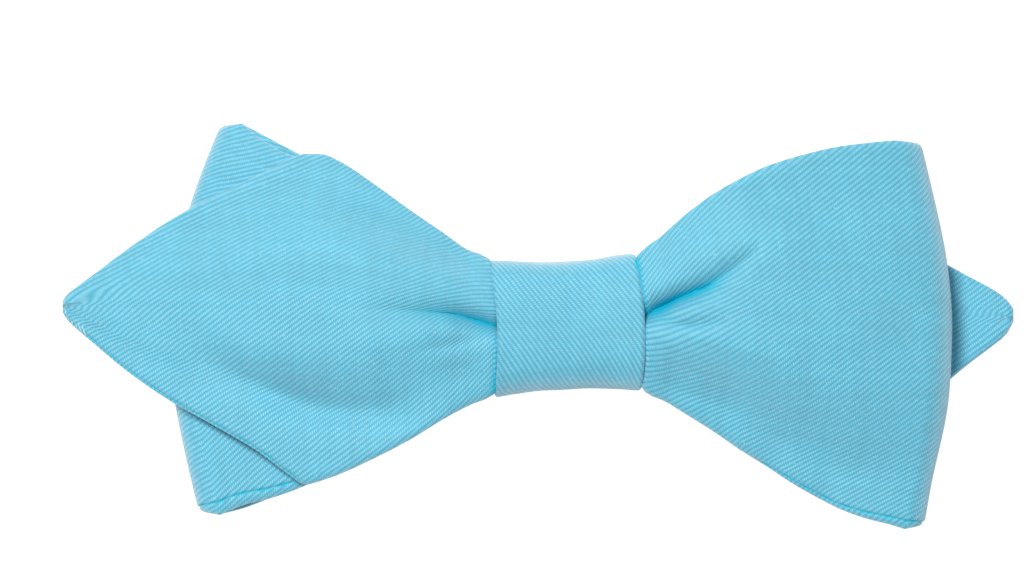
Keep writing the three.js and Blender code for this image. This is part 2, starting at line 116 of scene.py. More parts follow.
BACK_LOOP_OVER = [
    (0.02, 0.31, 0.33, -0.02, 1.02, 0.4, 0.4, 0.4),
    (0.1, 0.355, 0.41, 0, 1.06, 0.4, 0.4, 0.3),
    (0.2, 0.452, 0.494, 0.02, 1.04, 0.4, 0.4, 0.1),
    (0.35, 0.585, 0.611, 0.02, 0.98, 0.35, 0.35, 0),
    (0.5, 0.71, 0.724, 0.02, 0.92, 0.3, 0.3, 0),
    (0.6, 0.77, 0.791, 0.02, 0.87, 0.25, 0.25, 0),
    (0.7, 0.809, 0.855, 0.02, 0.81, 0.2, 0.2, 0),
    (0.8, 0.854, 0.902, 0.02, 0.76, 0.15, 0.15, 0),
    (0.9, 0.918, 0.936, 0.02, 0.69, 0.12, 0.12, 0),
    (1, 1, 0.99, 0.02, 0.6, 0.1, 0.1, 0),
]
BACK_LOOP_UNDER = [
    (0.02, 0.28, 0.3, 0, 0.93, 0.35, 0.35, 0.35),
    (0.08, 0.33, 0.36, 0, 0.66, 0.15, 0.15, 0.2),
    (0.16, 0.42, 0.44, 0, 0.32, 0, 0, 0),
    (0.26, 0.52, 0.53, 0, 0.07, 0, 0, 0),
    (0.34, 0.59, 0.59, 0, 0, 0, 0, 0),
    (0.6, 0.765, 0.775, 0.01, 0, 0, 0, 0),
    (0.9, 0.945, 0.955, 0.02, 0, 0, 0, 0),
    (1, 1, 0.99, 0.02, 0, 0, 0, 0),
]
BACK_POINT = [
    (0.02, 0.4, 0.38, 0.02, 0.93, 0.35, 0.35, 0.35),
    (0.08, 0.48, 0.45, 0.02, 0.74, 0.2, 0.2, 0.2),
    (0.17, 0.65, 0.6, 0.02, 0.43, 0, 0, 0),
    (0.28, 0.86, 0.8, 0.02, 0.13, 0, 0, 0),
    (0.36, 0.98, 0.93, 0.03, 0.01, 0, 0, 0),
    (0.42, 1, 1, 0.04, 0, 0, 0, 0),
    (0.5, 0.86, 0.96, 0.05, 0, 0, 0, 0),
    (0.7, 0.58, 0.6, 0.05, 0, 0, 0, 0),
    (0.8, 0.44, 0.416, 0.05, 0, 0, 0, 0),
    (0.88, 0.33, 0.256, 0.05, 0, 0, 0, 0),
    (0.95, 0.234, 0.127, 0.05, 0, 0, 0, 0),
    (0.98, 0.178, 0.066, 0.05, 0, 0, 0, 0),
    (1, 0.11, -0.02, 0.05, 0, 0, 0, 0),
]

# Soft folds that lie aslant on the front wings. Each valley runs through three places, given by along
# and a share of the wing's top height. Its depth and half width are shares of the crease's.
SoftFold = namedtuple("SoftFold", "start via end depth width")
FRONT_POINT_FOLDS = [
    SoftFold((0.16, -0.5), (0.4, -0.46), (0.7, -0.14), 0.55, 2.2),
    SoftFold((0.02, 0.15), (0.3, 0.52), (0.6, 0.62), 0.1, 3.2),
    SoftFold((0.005, -0.04), (0.09, -0.093), (0.2, -0.13), 0.15, 0.9),
]
FRONT_LOOP_FOLDS = [
    SoftFold((0, 0.06), (0.2, 0.2), (0.42, 0.42), 0.35, 1),
    SoftFold((0.01, 0.03), (0.13, 0.006), (0.3, 0.02), 0.2, 0.8),
    SoftFold((0.14, 0.64), (0.58, 0.62), (1.05, -0.2), 0.24, 3.2),
]

# How the ribs run on a wing: how much of the cloth's width the crease hides beside the knot, two powers
# for how it comes out again further along, how the ribs turn, and how they ease apart across the wing.
Grain = namedtuple("Grain", "hidden early late turn ease")
PLAIN_GRAIN = Grain(0, 1, 1, 0, 0)
FRONT_POINT_GRAIN = Grain(4.5 * MM, 6, 1, -0.03, 0.28)
FRONT_LOOP_GRAIN = Grain(4.5 * MM, 5, 1, -0.02, 0)
BACK_LOOP_GRAIN = Grain(3.5 * MM, 1, 3, -0.13, 0.25)
BACK_POINT_GRAIN = Grain(2.5 * MM, 3, 1, 0.04, 0)

# Seams that show beside a long edge: the width of the turned band at shares of the wing's length.
NO_SEAM = [(0, 0), (1, 0)]
FRONT_POINT_SEAM = [(0.4, 0), (0.47, 0.4 * MM), (0.95, 0.5 * MM), (1, 0.3 * MM)]
FRONT_LOOP_SEAM = [(0.35, 0), (0.5, 0.5 * MM), (0.75, 0.7 * MM), (1, 1.1 * MM)]
BACK_LOOP_SEAM = [(0.4, 0.5 * MM), (0.62, 0.9 * MM), (0.95, 1.6 * MM), (1, 1.6 * MM)]

# A seam: the width at which it shows in full, its groove's half width and depth, the needle holes along
# it, how far the turned band lies below the face, and the largest share of the half thickness cut away.
SEAM_WIDTH = 0.35 * MM
GROOVE_WIDTH = 0.16 * MM
GROOVE_DEPTH = 0.16 * MM
NEEDLE_PITCH = 2.7 * MM
NEEDLE_DEPTH = 0.14 * MM
NEEDLE_POWER = 3
BAND_STEP = 0.14 * MM
BAND_DEPTH = 0.1 * MM
CUT_SHARE = 0.8

# How late the curves across a wing set in: of its folded edge, its sinking long edges and its corners.
LEAN_POWER = 1.55
SINK_POWER = 2.4
CORNER_POWER = 4

# The steep flank of a puffed wing: how much of the sink it takes, where it starts and ends above and below
# the crease, as shares of the way to the edge, and where along the wing it is full.
FLANK_SHARE = 0.72
FLANKS = ((0.32, 0.84), (0.32, 0.84))
POINT_FLANKS = ((0.32, 0.84), (0.2, 0.68))
PUFF_START = 0.12

# How fast a soft fold's depth sets in from its ends.
FADE_POWER = 0.8

# The stitches at the front point's tip: how many, along which stretch of the wing, how far inside the edge
# they start and end, how much they slant, and the thread's radius.
STITCHES = 5
STITCH_SPAN = (0.945, 0.985)
STITCH_INSIDE = (0.15 * MM, 1 * MM)
STITCH_SLANT = -0.5 * MM
STITCH_RADIUS = 0.08 * MM

# How far from the knot its turn and its lean still show in the wings.
LEAN_REACH = 4 * MM

# Places of the fine mesh across a strip, from a long edge inwards: shares of the way to the seam's
# groove, then distances on both sides of the groove, then even steps to the crease. Where a half wing is
# narrower than NARROW times the places beside its edge, they draw together.
EDGE_SHARES = (0, 0.05, 0.14, 0.28, 0.5, 0.75)
GROOVE_PLACES = tuple(place * MM for place in (-0.3, -0.18, -0.08, 0, 0.08, 0.18, 0.3, 0.5, 0.8))
PLAIN_GROOVE = 1 * MM
NARROW = 1.25
STEPS_TO_CREASE = 32

# Steps along a strip's stretches, its places close to its ends, and its places close to the knot.
STEPS_ON_POINT = 104
STEPS_ON_LOOP = 76
STEPS_UNDER_LOOP = 56
STEPS_ROUND_FOLD = 24
STEPS_IN_THROAT = 20
STEPS_IN_RETURN = 8
END_PLACES = tuple(place * MM for place in (0, 0.03, 0.09, 0.18, 0.3, 0.45, 0.6, 0.8))
BESIDE_KNOT = tuple(place * MM for place in (0.6, 0.36, 0.2, 0.08))

# The band's steps round the knot, its places from a side inwards, where its even steps across start, and
# how far its sides are rounded.
KNOT_STEPS_ROUND = 220
KNOT_EDGE_PLACES = tuple(place * MM for place in (0, 0.02, 0.07, 0.15, 0.25, 0.38, 0.52, 0.7))
KNOT_EDGE_END = 1.3 * MM
KNOT_STEPS_ACROSS = 52
KNOT_EDGE_RADIUS = 0.6 * MM

# How the gathered cloth opens out: how fast the cloth hidden in the crease spreads away from it, how much
# of the wings' spreading its yarns follow, where on the point that ends, and where the easing starts.
GATHER_SPREAD = 0.12
GRAIN_FAN = 0.5
FAN_END = (0.3, 0.75)
EASE_START = 2 * MM

# How much of the slopes' extra length across the strip the ribs follow, and over how many half widths of
# the crease this sets in beyond the crease's own walls.
STEEP_SHARE = 0.5
STEEP_SPREAD = 1.5

# Where the painted shade makes the cloth's colour fullest and takes its sheen away: how deep in a crease,
# how near the knot, and from where to where, away from the knot, the depth stops counting.
PAINTED_SHADE_DEPTH = 1.6 * MM
PAINTED_SHADE_REACH = 0.45 * MM
PAINTED_SHADE_END = (8 * MM, 16 * MM)

# The shallow unevenness: the usual length of its waves and their spread, how far from the knot or from the
# band's sides it is full, and the seed of each piece's own waves.
RIPPLE_SIZE = 9 * MM
KNOT_RIPPLE_SIZE = 8 * MM
RIPPLE_SPREAD = (0.6, 1.8)
RIPPLE_START = 6 * MM
KNOT_RIPPLE_START = 2 * MM
FRONT_SEED = 3
BACK_SEED = 7
KNOT_SEED = 11

# The weave: the size of the yarns' wavering, how much of its pitch a float covers and how full its arch
# is, how much of its height comes from the yarn's roundness, and how uneven the yarns and floats are.
WAVER_SCALE = 330.0
FLOAT_COVER = 0.78
FLOAT_FULLNESS = 0.6
YARN_ROUNDNESS = 0.45
YARN_UNEVENNESS = 0.14
FLOAT_UNEVENNESS = 0.3

# The uneven tone's finer parts, against its own scale, the noise values between which a speck fades in, and
# how the streaks are drawn out along the cloth's two directions.
STREAK_FINENESS = 6.0
SPECK_FINENESS = 16.0
SPECK_RANGE = (0.72, 0.8)
STREAK_STRETCHES = ((1.0, 0.05, 1.0), (0.05, 1.0, 1.0))

# The finishes: colours in linear light, how rough, shiny and downy they are, and the metal's brush marks.
LINT_COLOUR = (0.5, 0.7, 0.75)
LINT_SHARE = 0.3
SHEEN = 0.45
SHEEN_ROUGHNESS = 0.6
SHEEN_TINT = (1, 0.86, 0.87)
TWILL_SHINE = 0.9
TWILL_IOR = 1.6
TWILL_ROUGHNESS = 0.65
RIB_SMOOTHNESS = 0.1
NICKEL_COLOUR = (0.62, 0.6, 0.57)
NICKEL_ROUGHNESS = 0.22
BRUSH_ROUGHNESS = 0.2
BRUSH_STRETCH = (6000, 250, 6000)
BRUSH_DEPTH = 0.01 * MM
THREAD_COLOUR = (0.5, 0.75, 0.83)
THREAD_ROUGHNESS = 0.55
FLOOR_ROUGHNESS = 0.9
FLOOR_SIZE = 2


def metres(name, description, default):
    """A length that the user may change."""
    return FloatProperty(name=name, description=description, default=default, precision=5, unit="LENGTH")


def share(name, description, default, top=1.0):
    """A plain number that the user may change."""
    return FloatProperty(name=name, description=description, default=default, min=0, max=top, precision=3)


def colour(name, description, default):
    """A colour that the user may change, in linear light."""
    return FloatVectorProperty(name=name, description=description, default=default, subtype="COLOR", size=3)


class BowTieCloth(bpy.types.PropertyGroup):
    """The twill and how it is made up."""

    strip_thickness: metres("Strip thickness", "Two plies of twill with their lining", 1.3 * MM)
    band_thickness: metres("Band thickness", "The folded band of the knot", 1.2 * MM)
    layer_gap: metres("Layer gap", "Air between the layers in the knot", 0.45 * MM)
    seat_gap: metres("Seat gap", "Air between pieces that seat on each other", 0.3 * MM)
    edge_radius: metres("Edge radius", "Rounding of the strips' long edges", 1.1 * MM)
    yarn_pitch: metres("Yarn pitch", "From one yarn of the face to the next", 0.231 * MM)
    float_pitch: metres("Float pitch", "From one float of a yarn to its next", 0.67 * MM)
    yarn_shift: metres("Yarn shift", "How far each yarn's floats lie above its neighbour's", 0.162 * MM)
    weave_depth: metres("Weave depth", "From the top of a rib to the bottom between two", 0.09 * MM)
    ripple: metres("Ripple", "Height of the shallow unevenness", 0.05 * MM)
    # The ribs' tops are lighter and the gaps darker: partly the yarns' own colours, partly a painted
    # highlight on the rib tops and painted shade between them.
    rib_colour: colour("Rib colour", "The top of the ribs", (0.175, 0.625, 0.785))
    gap_colour: colour("Gap colour", "Between the ribs", (0.012, 0.4, 0.6))
    # Painted shade: the fuller colour put deep in the creases, beside the knot and in the seams' grooves.
    painted_shade_colour: colour("Hollow colour", "Deep in the creases", (0.012, 0.52, 0.7))


class BowTieKnot(bpy.types.PropertyGroup):
    """The knot's band and the gathered middle inside it."""

    width: metres("Width", "Across the band", 18.6 * MM)
    height: metres("Height", "From the band's bottom turn to its top turn", 17.4 * MM)
    waist: metres("Waist", "How far the middle of the band draws in", 0.65 * MM)
    tilt: FloatProperty(
        name="Tilt",
        description="Turn of the band",
        default=math.radians(2.6),
        unit="ROTATION",
    )
    front_squareness: share("Front squareness", "2 is an ellipse, more is squarer", 3.0, 12)
    back_squareness: share("Back squareness", "2 is an ellipse, more is squarer", 9.0, 12)
    lean: metres("Lean", "How far the band's top and bottom lean to the left", 0.8 * MM)
    crease: metres("Crease", "Depth of the crease in the gathered middle", 1.4 * MM)
    turn_under: metres("Turn under", "How far the gathered edges turn under", 1.7 * MM)
    return_end: metres("Return end", "Where the loops' inner ends stop, from the middle", 7 * MM)


class BowTieWings(bpy.types.PropertyGroup):
    """Outer sizes of the four wings, from the knot's side and its middle."""

    front_point_reach: metres("Front point reach", "To its tip", 55.05 * MM)
    front_point_top: metres("Front point top", "Up to its shoulder", 21.6 * MM)
    front_point_bottom: metres("Front point bottom", "Down to its shoulder", 19.9 * MM)
    front_loop_reach: metres("Front loop reach", "To its fold", 39 * MM)
    front_loop_top: metres("Front loop top", "Up to its corner", 23.3 * MM)
    front_loop_bottom: metres("Front loop bottom", "Down to its corner", 25.9 * MM)
    back_loop_reach: metres("Back loop reach", "To its fold", 41.95 * MM)
    back_loop_top: metres("Back loop top", "Up to its corner", 25.5 * MM)
    back_loop_bottom: metres("Back loop bottom", "Down to its corner", 24.3 * MM)
    back_point_reach: metres("Back point reach", "To its tip", 47 * MM)
    back_point_top: metres("Back point top", "Up to its shoulder", 18.6 * MM)
    back_point_bottom: metres("Back point bottom", "Down to its shoulder", 19.4 * MM)
    front_lean_top: metres("Front lean top", "How far the fold's top corner stands back", 3.55 * MM)
    front_lean_bottom: metres("Front lean bottom", "How far its bottom corner stands back", 2.35 * MM)
    back_lean_top: metres("Back lean top", "How far the fold's top corner stands back", 6.7 * MM)
    back_lean_bottom: metres("Back lean bottom", "How far its bottom corner stands back", 4 * MM)
    corner_rounding: share("Corner rounding", "How much the fold's corners are rounded off", 0.014)
    crease_depth: metres("Crease depth", "Of the dimples beside the knot", 3 * MM)
    crease_width: metres("Crease width", "Half width of the dimples", 1.2 * MM)
    edge_sink: metres("Edge sink", "How far the long edges sink", 3 * MM)


class BowTieStage(bpy.types.PropertyGroup):
    """The floor, the lights and the camera."""

    view_width: metres("View width", "Width of what the camera sees", 129.02 * MM)
    view_middle: FloatVectorProperty(
        name="View middle",
        description="The place in the middle of the view",
        default=(-7.434 * MM, 4.662 * MM, 10 * MM),
        subtype="TRANSLATION",
        precision=5,
    )
    lens: FloatProperty(name="Lens", description="Focal length", default=300, unit="CAMERA")
    key_power: FloatProperty(
        name="Key light",
        description="Soft light from the top edge's side",
        default=10.3,
    )
    key_size: metres("Key size", "Width of the round light", 0.3)
    key_place: FloatVectorProperty(
        name="Key place",
        description="Where the light stands",
        default=(-0.22, 0.3, 1),
        subtype="TRANSLATION",
    )
    sky_strength: share("Sky", "Even light from all round", 0.31, 5)
    floor_colour: colour("Floor colour", "Plain and pale", (0.3, 0.3, 0.3))
    floor_glow: share("Floor glow", "Light of its own that keeps the floor pale", 0.95, 2)


Wing = namedtuple("Wing", "side length top lean_top lean_bottom rows flanks folds seam grain")
Loop = namedtuple("Loop", "over under entry")
Part = namedtuple("Part", "points seam")


class Levels:
    """Heights of the layers in the knot, from the table upwards."""

    def __init__(self, scene):
        cloth = scene.bow_tie_cloth
        knot = scene.bow_tie_knot
        self.knot_half = knot.width / 2
        self.slope = math.tan(knot.tilt)
        self.throat_half = knot.height / 2 - cloth.band_thickness - 2 * cloth.seat_gap
        self.on_table = cloth.strip_thickness / 2
        self.knot_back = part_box("knot")[0].z
        self.inner_back = self.knot_back + cloth.band_thickness
        self.pitch = cloth.strip_thickness + cloth.layer_gap
        self.lowest = self.inner_back + cloth.seat_gap + self.on_table + max(knot.crease, knot.turn_under)
        self.inner_front = self.layer(FRONT_LAYER) + cloth.strip_thickness / 2 + cloth.seat_gap

    def layer(self, number):
        """The crest of a layer's middle surface inside the knot."""
        return self.lowest + number * self.pitch

    def lift(self, number, height):
        """A height between the table and a layer's level in the knot."""
        return self.on_table + (self.layer(number) - self.on_table) * height


def column_at(rows, column, along):
    """Smooth value of a column between the rows of a section table: a cubic with no overshoot."""
    places = rows[:, ALONG]
    values = rows[:, column]
    slopes = np.diff(values) / np.diff(places)
    before = slopes[:-1]
    after = slopes[1:]
    together = before * after
    inner = np.where(together > 0, 2 * together / np.where(together > 0, before + after, 1), 0)
    tangents = np.concatenate(([slopes[0]], inner, [slopes[-1]]))
    row = np.clip(np.searchsorted(places, along) - 1, 0, len(places) - 2)
    span = places[row + 1] - places[row]
    part = (along - places[row]) / span
    return (
        values[row] * (1 + 2 * part) * (1 - part) ** 2
        + tangents[row] * span * part * (1 - part) ** 2
        + values[row + 1] * part**2 * (3 - 2 * part)
        + tangents[row + 1] * span * part**2 * (part - 1)
    )


def make_wing(
    scene, side, layer, length, heights, table,
    leans=(0, 0), flanks=FLANKS, folds=(), seam=NO_SEAM, grain=PLAIN_GRAIN,
):
    """A wing's sections in metres, from the knot's side outwards."""
    levels = Levels(scene)
    knot = scene.bow_tie_knot
    wings = scene.bow_tie_wings
    top, bottom = heights
    middle = side * levels.slope * levels.knot_half
    at_knot = (
        0,
        middle + levels.throat_half,
        middle - levels.throat_half,
        middle,
        levels.layer(layer),
        knot.turn_under,
        knot.turn_under,
        knot.crease,
    )
    rows = np.array([at_knot] + [tuple(row) for row in table], float)
    rows[1:, UPPER] *= top
    rows[1:, LOWER] *= -bottom
    rows[1:, CREASE] *= top
    rows[1:, HEIGHT] = levels.lift(layer, rows[1:, HEIGHT])
    rows[1:, [SINK_ABOVE, SINK_BELOW]] *= wings.edge_sink
    rows[1:, DENT] *= wings.crease_depth
    return Wing(side, length, top, leans[0], leans[1], rows, flanks, folds, seam, grain)


def make_loop(scene, side, layer, reach, heights, over, under, leans, folds, seam, grain):
    """A loop's two layers. Its reach goes to the outside of the fold that joins them."""
    levels = Levels(scene)
    turn = levels.lift(layer, over[-1][HEIGHT]) - levels.lift(layer - 1, under[-1][HEIGHT])
    drop = levels.lift(layer, over[-2][HEIGHT]) - levels.lift(layer, over[-1][HEIGHT])
    entry = math.atan(drop / (reach * (over[-1][ALONG] - over[-2][ALONG])))
    length = reach - turn * (1 - math.sin(entry) / 2) / (1 + math.cos(entry)) - levels.on_table
    return Loop(
        make_wing(scene, side, layer, length, heights, over, leans, folds=folds, seam=seam, grain=grain),
        make_wing(scene, side, layer - 1, length, heights, under, leans, grain=grain),
        entry,
    )


def fold_depth(scene, fold, wing, along, y):
    """Depth of a soft fold at places on the wing."""
    wings = scene.bow_tie_wings
    inside = np.clip((along - fold.start[0]) / (fold.end[0] - fold.start[0]), 0, 1)
    bend = (fold.via[0] - fold.start[0]) / (fold.end[0] - fold.start[0])
    straight = fold.start[1] + (fold.end[1] - fold.start[1]) * inside
    sag = fold.via[1] - fold.start[1] - (fold.end[1] - fold.start[1]) * bend
    line = (straight + sag * inside * (1 - inside) / (bend * (1 - bend))) * wing.top
    fade = np.sin(math.pi * inside) ** FADE_POWER
    width = fold.width * wings.crease_width
    return fold.depth * wings.crease_depth * fade * np.exp(-(((y - line) / width) ** 2))


def flank(wing, along, across):
    """How far down the side of a puffed wing is, from 0 on the crease to 1 at the long edge."""
    out = np.abs(across)
    above, below = wing.flanks
    start = np.where(across > 0, above[0], below[0])
    end = np.where(across > 0, above[1], below[1])
    steep = smooth((out - start) / (end - start))
    share_of_steep = FLANK_SHARE * smooth(along / PUFF_START)
    return share_of_steep * steep + (1 - share_of_steep) * out**SINK_POWER


def smooth(value):
    """A smooth step from 0 to 1."""
    inside = np.clip(value, 0, 1)
    return inside**2 * (3 - 2 * inside)


def wing_points(scene, wing, along, across):
    """A wing's middle surface: along from 0 at the knot to 1 at its end, across from -1 to 1."""
    rows = wing.rows
    crease = column_at(rows, CREASE, along)
    edge = np.where(across > 0, column_at(rows, UPPER, along), column_at(rows, LOWER, along))
    out = np.abs(across)
    y = crease + (edge - crease) * out
    lean = np.where(across > 0, wing.lean_top, wing.lean_bottom) * along**2 * out**LEAN_POWER
    levels = Levels(scene)
    x = wing.side * (levels.knot_half + wing.length * along - lean)
    x = x - (levels.slope * y + knot_lean(scene, y)) * np.exp(-wing.length * along / LEAN_REACH)
    sink = np.where(across > 0, column_at(rows, SINK_ABOVE, along), column_at(rows, SINK_BELOW, along))
    z = column_at(rows, HEIGHT, along) - sink * flank(wing, along, across)
    width = scene.bow_tie_wings.crease_width
    z = z - column_at(rows, DENT, along) * np.exp(-(((y - crease) / width) ** 2))
    for fold in wing.folds:
        z = z - fold_depth(scene, fold, wing, along, y)
    return np.stack([x, y, z], -1)


def knot_lean(scene, y):
    """How far the knot and the cloth beside it lean to the left, at heights above the knot's middle."""
    knot = scene.bow_tie_knot
    return knot.lean * np.clip(2 * np.abs(y) / knot.height, 0, 1) ** 2


def drawn_in(scene, x):
    """Share of their height that the band and the cloth in it keep at a place along the tie."""
    knot = scene.bow_tie_knot
    out = np.clip(2 * np.abs(x) / knot.width, 0, 1)
    return 1 - 2 * knot.waist / knot.height * (1 - out**2)


def throat_points(scene, layer, x, across):
    """A layer inside the knot, at x from one side of the knot to the other."""
    levels = Levels(scene)
    knot = scene.bow_tie_knot
    y = levels.throat_half * across * drawn_in(scene, x)
    dent = knot.crease * np.exp(-((y / scene.bow_tie_wings.crease_width) ** 2))
    z = levels.layer(layer) - knot.turn_under * np.abs(across) ** SINK_POWER - dent
    return np.stack([x - levels.slope * y - knot_lean(scene, y), x * levels.slope + y, z + 0 * x], -1)


def fold_points(scene, loop, turn, across):
    """The turn that joins a loop's layers, from 0 on the upper one, which runs down into it, to 1."""
    over = wing_points(scene, loop.over, np.ones_like(turn), across)
    under = wing_points(scene, loop.under, np.ones_like(turn), across)
    radius = (over[..., 2] - under[..., 2]) / (1 + math.cos(loop.entry))
    angle = loop.entry + (math.pi - loop.entry) * turn
    at_corner = np.sin(math.pi * turn) * np.abs(across) ** CORNER_POWER
    rounding = 1 - scene.bow_tie_wings.corner_rounding * at_corner
    x = over[..., 0] + loop.over.side * radius * (np.sin(angle) - math.sin(loop.entry) * (1 - turn))
    z = under[..., 2] + radius * (1 + np.cos(angle))
    return np.stack([x, over[..., 1] * rounding, z], -1)


def seam_at(seam, along):
    """Width of the turned band beside a long edge."""
    places, widths = zip(*seam)
    return np.interp(along, places, widths)


def strip_parts(scene, point, loop, layer):
    """The stretches of a strip, from its point through the knot and round the loop back into the knot."""
    levels = Levels(scene)
    half = loop.over.side * levels.knot_half
    back = -math.copysign(min(scene.bow_tie_knot.return_end, levels.knot_half), half)
    tip = np.array(END_PLACES) / point.length
    beside = np.array(BESIDE_KNOT) / point.length
    on_point = np.linspace(1 - 2 * tip[-1], 2 * beside[0], STEPS_ON_POINT)
    on_point = np.concatenate([1 - tip, on_point, beside])[:, None]
    in_throat = np.linspace(-half, half, STEPS_IN_THROAT)[:, None]
    beside = np.array(BESIDE_KNOT[::-1]) / loop.over.length
    on_loop = np.concatenate([beside, np.linspace(2 * beside[-1], 1, STEPS_ON_LOOP)])[:, None]
    on_fold = np.linspace(0, 1, STEPS_ROUND_FOLD)[1:-1, None]
    under_loop = np.linspace(1, 0, STEPS_UNDER_LOOP)[:, None]
    end_places = math.copysign(1, half) * np.array(END_PLACES[::-1])
    in_return = np.linspace(half, back + 2 * end_places[0], STEPS_IN_RETURN)[1:]
    in_return = np.concatenate([in_return, back + end_places])[:, None]
    point_seam = seam_at(point.seam, on_point[:, 0])
    loop_seam = seam_at(loop.over.seam, on_loop[:, 0])
    fold_seam = loop.over.seam[-1][1] * (1 - on_fold[:, 0])
    return [
        Part(lambda across: wing_points(scene, point, on_point, across), point_seam),
        Part(lambda across: throat_points(scene, layer, in_throat, across), 0 * in_throat[:, 0]),
        Part(lambda across: wing_points(scene, loop.over, on_loop, across), loop_seam),
        Part(lambda across: fold_points(scene, loop, on_fold, across), fold_seam),
        Part(lambda across: wing_points(scene, loop.under, under_loop, across), 0 * under_loop[:, 0]),
        Part(lambda across: throat_points(scene, layer - 1, in_return, across), 0 * in_return[:, 0]),
    ]


def all_points(parts, across):
    """Points of a whole strip, where across has one row for each of its places along."""
    first = 0
    stretches = []
    for part in parts:
        count = len(part.seam)
        stretches.append(part.points(across[first : first + count]))
        first += count
    return np.concatenate(stretches)


def places_to_crease(width, seam):
    """Distances from a long edge inwards to the crease, close together at the edge and at the seam."""
    groove = np.where(seam > 0, np.maximum(seam, SEAM_WIDTH), PLAIN_GROOVE)[:, None]
    before = (groove + GROOVE_PLACES[0]) * np.array(EDGE_SHARES)
    beside = groove + np.array(GROOVE_PLACES)
    near = np.concatenate([before, beside], 1)
    near *= np.minimum(1, width[:, None] / (NARROW * near[:, -1:]))
    rest = near[:, -1:] + (width[:, None] - near[:, -1:]) * np.linspace(0, 1, STEPS_TO_CREASE)[1:]
    return np.concatenate([near, rest], 1)


def rounded(distance, radius):
    """Thickness from 0 at a rounded edge to 1 at its radius and beyond."""
    inside = 1 - np.clip(distance / radius, 0, 1)
    return np.sqrt(1 - inside**2)


def ripples(u, v, seed, size, count=16):
    """Smooth shallow unevenness of the cloth, about 1 high, the same at each run."""
    chance = np.random.default_rng(seed)
    total = np.zeros_like(u)
    for _ in range(count):
        turn, phase = chance.uniform(0, math.tau, 2)
        wave = size * chance.uniform(*RIPPLE_SPREAD)
        total += np.sin(math.tau * (u * math.cos(turn) + v * math.sin(turn)) / wave + phase)
    return total / math.sqrt(count / 2)


def from_knot(steps, x):
    """Sums of steps along a strip, counted from the middle of the knot."""
    total = np.concatenate([0 * steps[:1], np.cumsum(steps, 0)])
    return total - total[np.argmin(np.abs(x[: len(x) // 2]))]


def cloth_places(scene, points, point, loop):
    """Where each place lies on the flat cloth: u along the strip to the right, v across it upwards."""
    half_knot = Levels(scene).knot_half
    middle = points.shape[1] // 2
    side = loop.over.side
    x = side * points[:, middle, 0]
    away = np.clip(np.abs(x) - half_knot, 0, None)
    grain = []
    for pair in zip((*point.grain, point.length), (*loop.over.grain, loop.over.length)):
        grain.append(np.interp(x, [-half_knot, half_knot], pair))
    hidden, early, late, turn, ease, length = grain
    out = np.clip(away / length, 0, 1)
    hidden = hidden * (1 - out**late) ** early
    crease_width = scene.bow_tie_wings.crease_width
    spread = crease_width + GATHER_SPREAD * away

    steps = np.diff(points, axis=0)
    level_steps = np.linalg.norm(steps[..., [0, 2]], axis=-1)
    spreading = np.diff(np.ptp(points[..., 1], axis=1)) * np.diff(away) > 0
    fan_steps = spreading[:, None] * (np.linalg.norm(steps, axis=-1) - level_steps)
    fade = np.where(x < 0, 1 - smooth((out - FAN_END[0]) / (FAN_END[1] - FAN_END[0])), 1)
    u = side * (from_knot(level_steps, x) + GRAIN_FAN * fade[:, None] * from_knot(fan_steps, x))
    level_across = np.abs(np.diff(points[..., 1], axis=1))
    steep_across = np.linalg.norm(np.diff(points[:, :, 1:], axis=1), axis=-1) - level_across
    from_crease = np.abs(points[:, 1:, 1] - points[:, middle : middle + 1, 1]) / crease_width
    beyond_walls = smooth((from_crease - 1) / STEEP_SPREAD)
    steps_across = level_across + STEEP_SHARE * steep_across * beyond_walls
    v = np.concatenate([0 * points[:, :1, 0], np.cumsum(steps_across, 1)], 1)
    v = v - v[:, middle : middle + 1]
    v = v + hidden[:, None] * np.tanh(v / spread[:, None])
    v = v + ease[:, None] * np.clip(v - EASE_START, 0, None) + points[:, middle : middle + 1, 1]
    return u, v - turn[:, None] * u


def painted_crease_shade(scene, points):
    """How much painted shade each place gets, from 0 to 1: deep in a crease or close beside the knot."""
    height = points[..., 2]
    from_lower = np.maximum.accumulate(height, axis=1)
    from_upper = np.maximum.accumulate(height[:, ::-1], axis=1)[:, ::-1]
    away = np.abs(points[..., 0] + knot_lean(scene, points[..., 1])) - Levels(scene).knot_half
    depth = (np.minimum(from_lower, from_upper) - height) / PAINTED_SHADE_DEPTH
    fade = 1 - smooth((away - PAINTED_SHADE_END[0]) / (PAINTED_SHADE_END[1] - PAINTED_SHADE_END[0]))
    return smooth(np.maximum(depth * fade, 1 - away / PAINTED_SHADE_REACH))


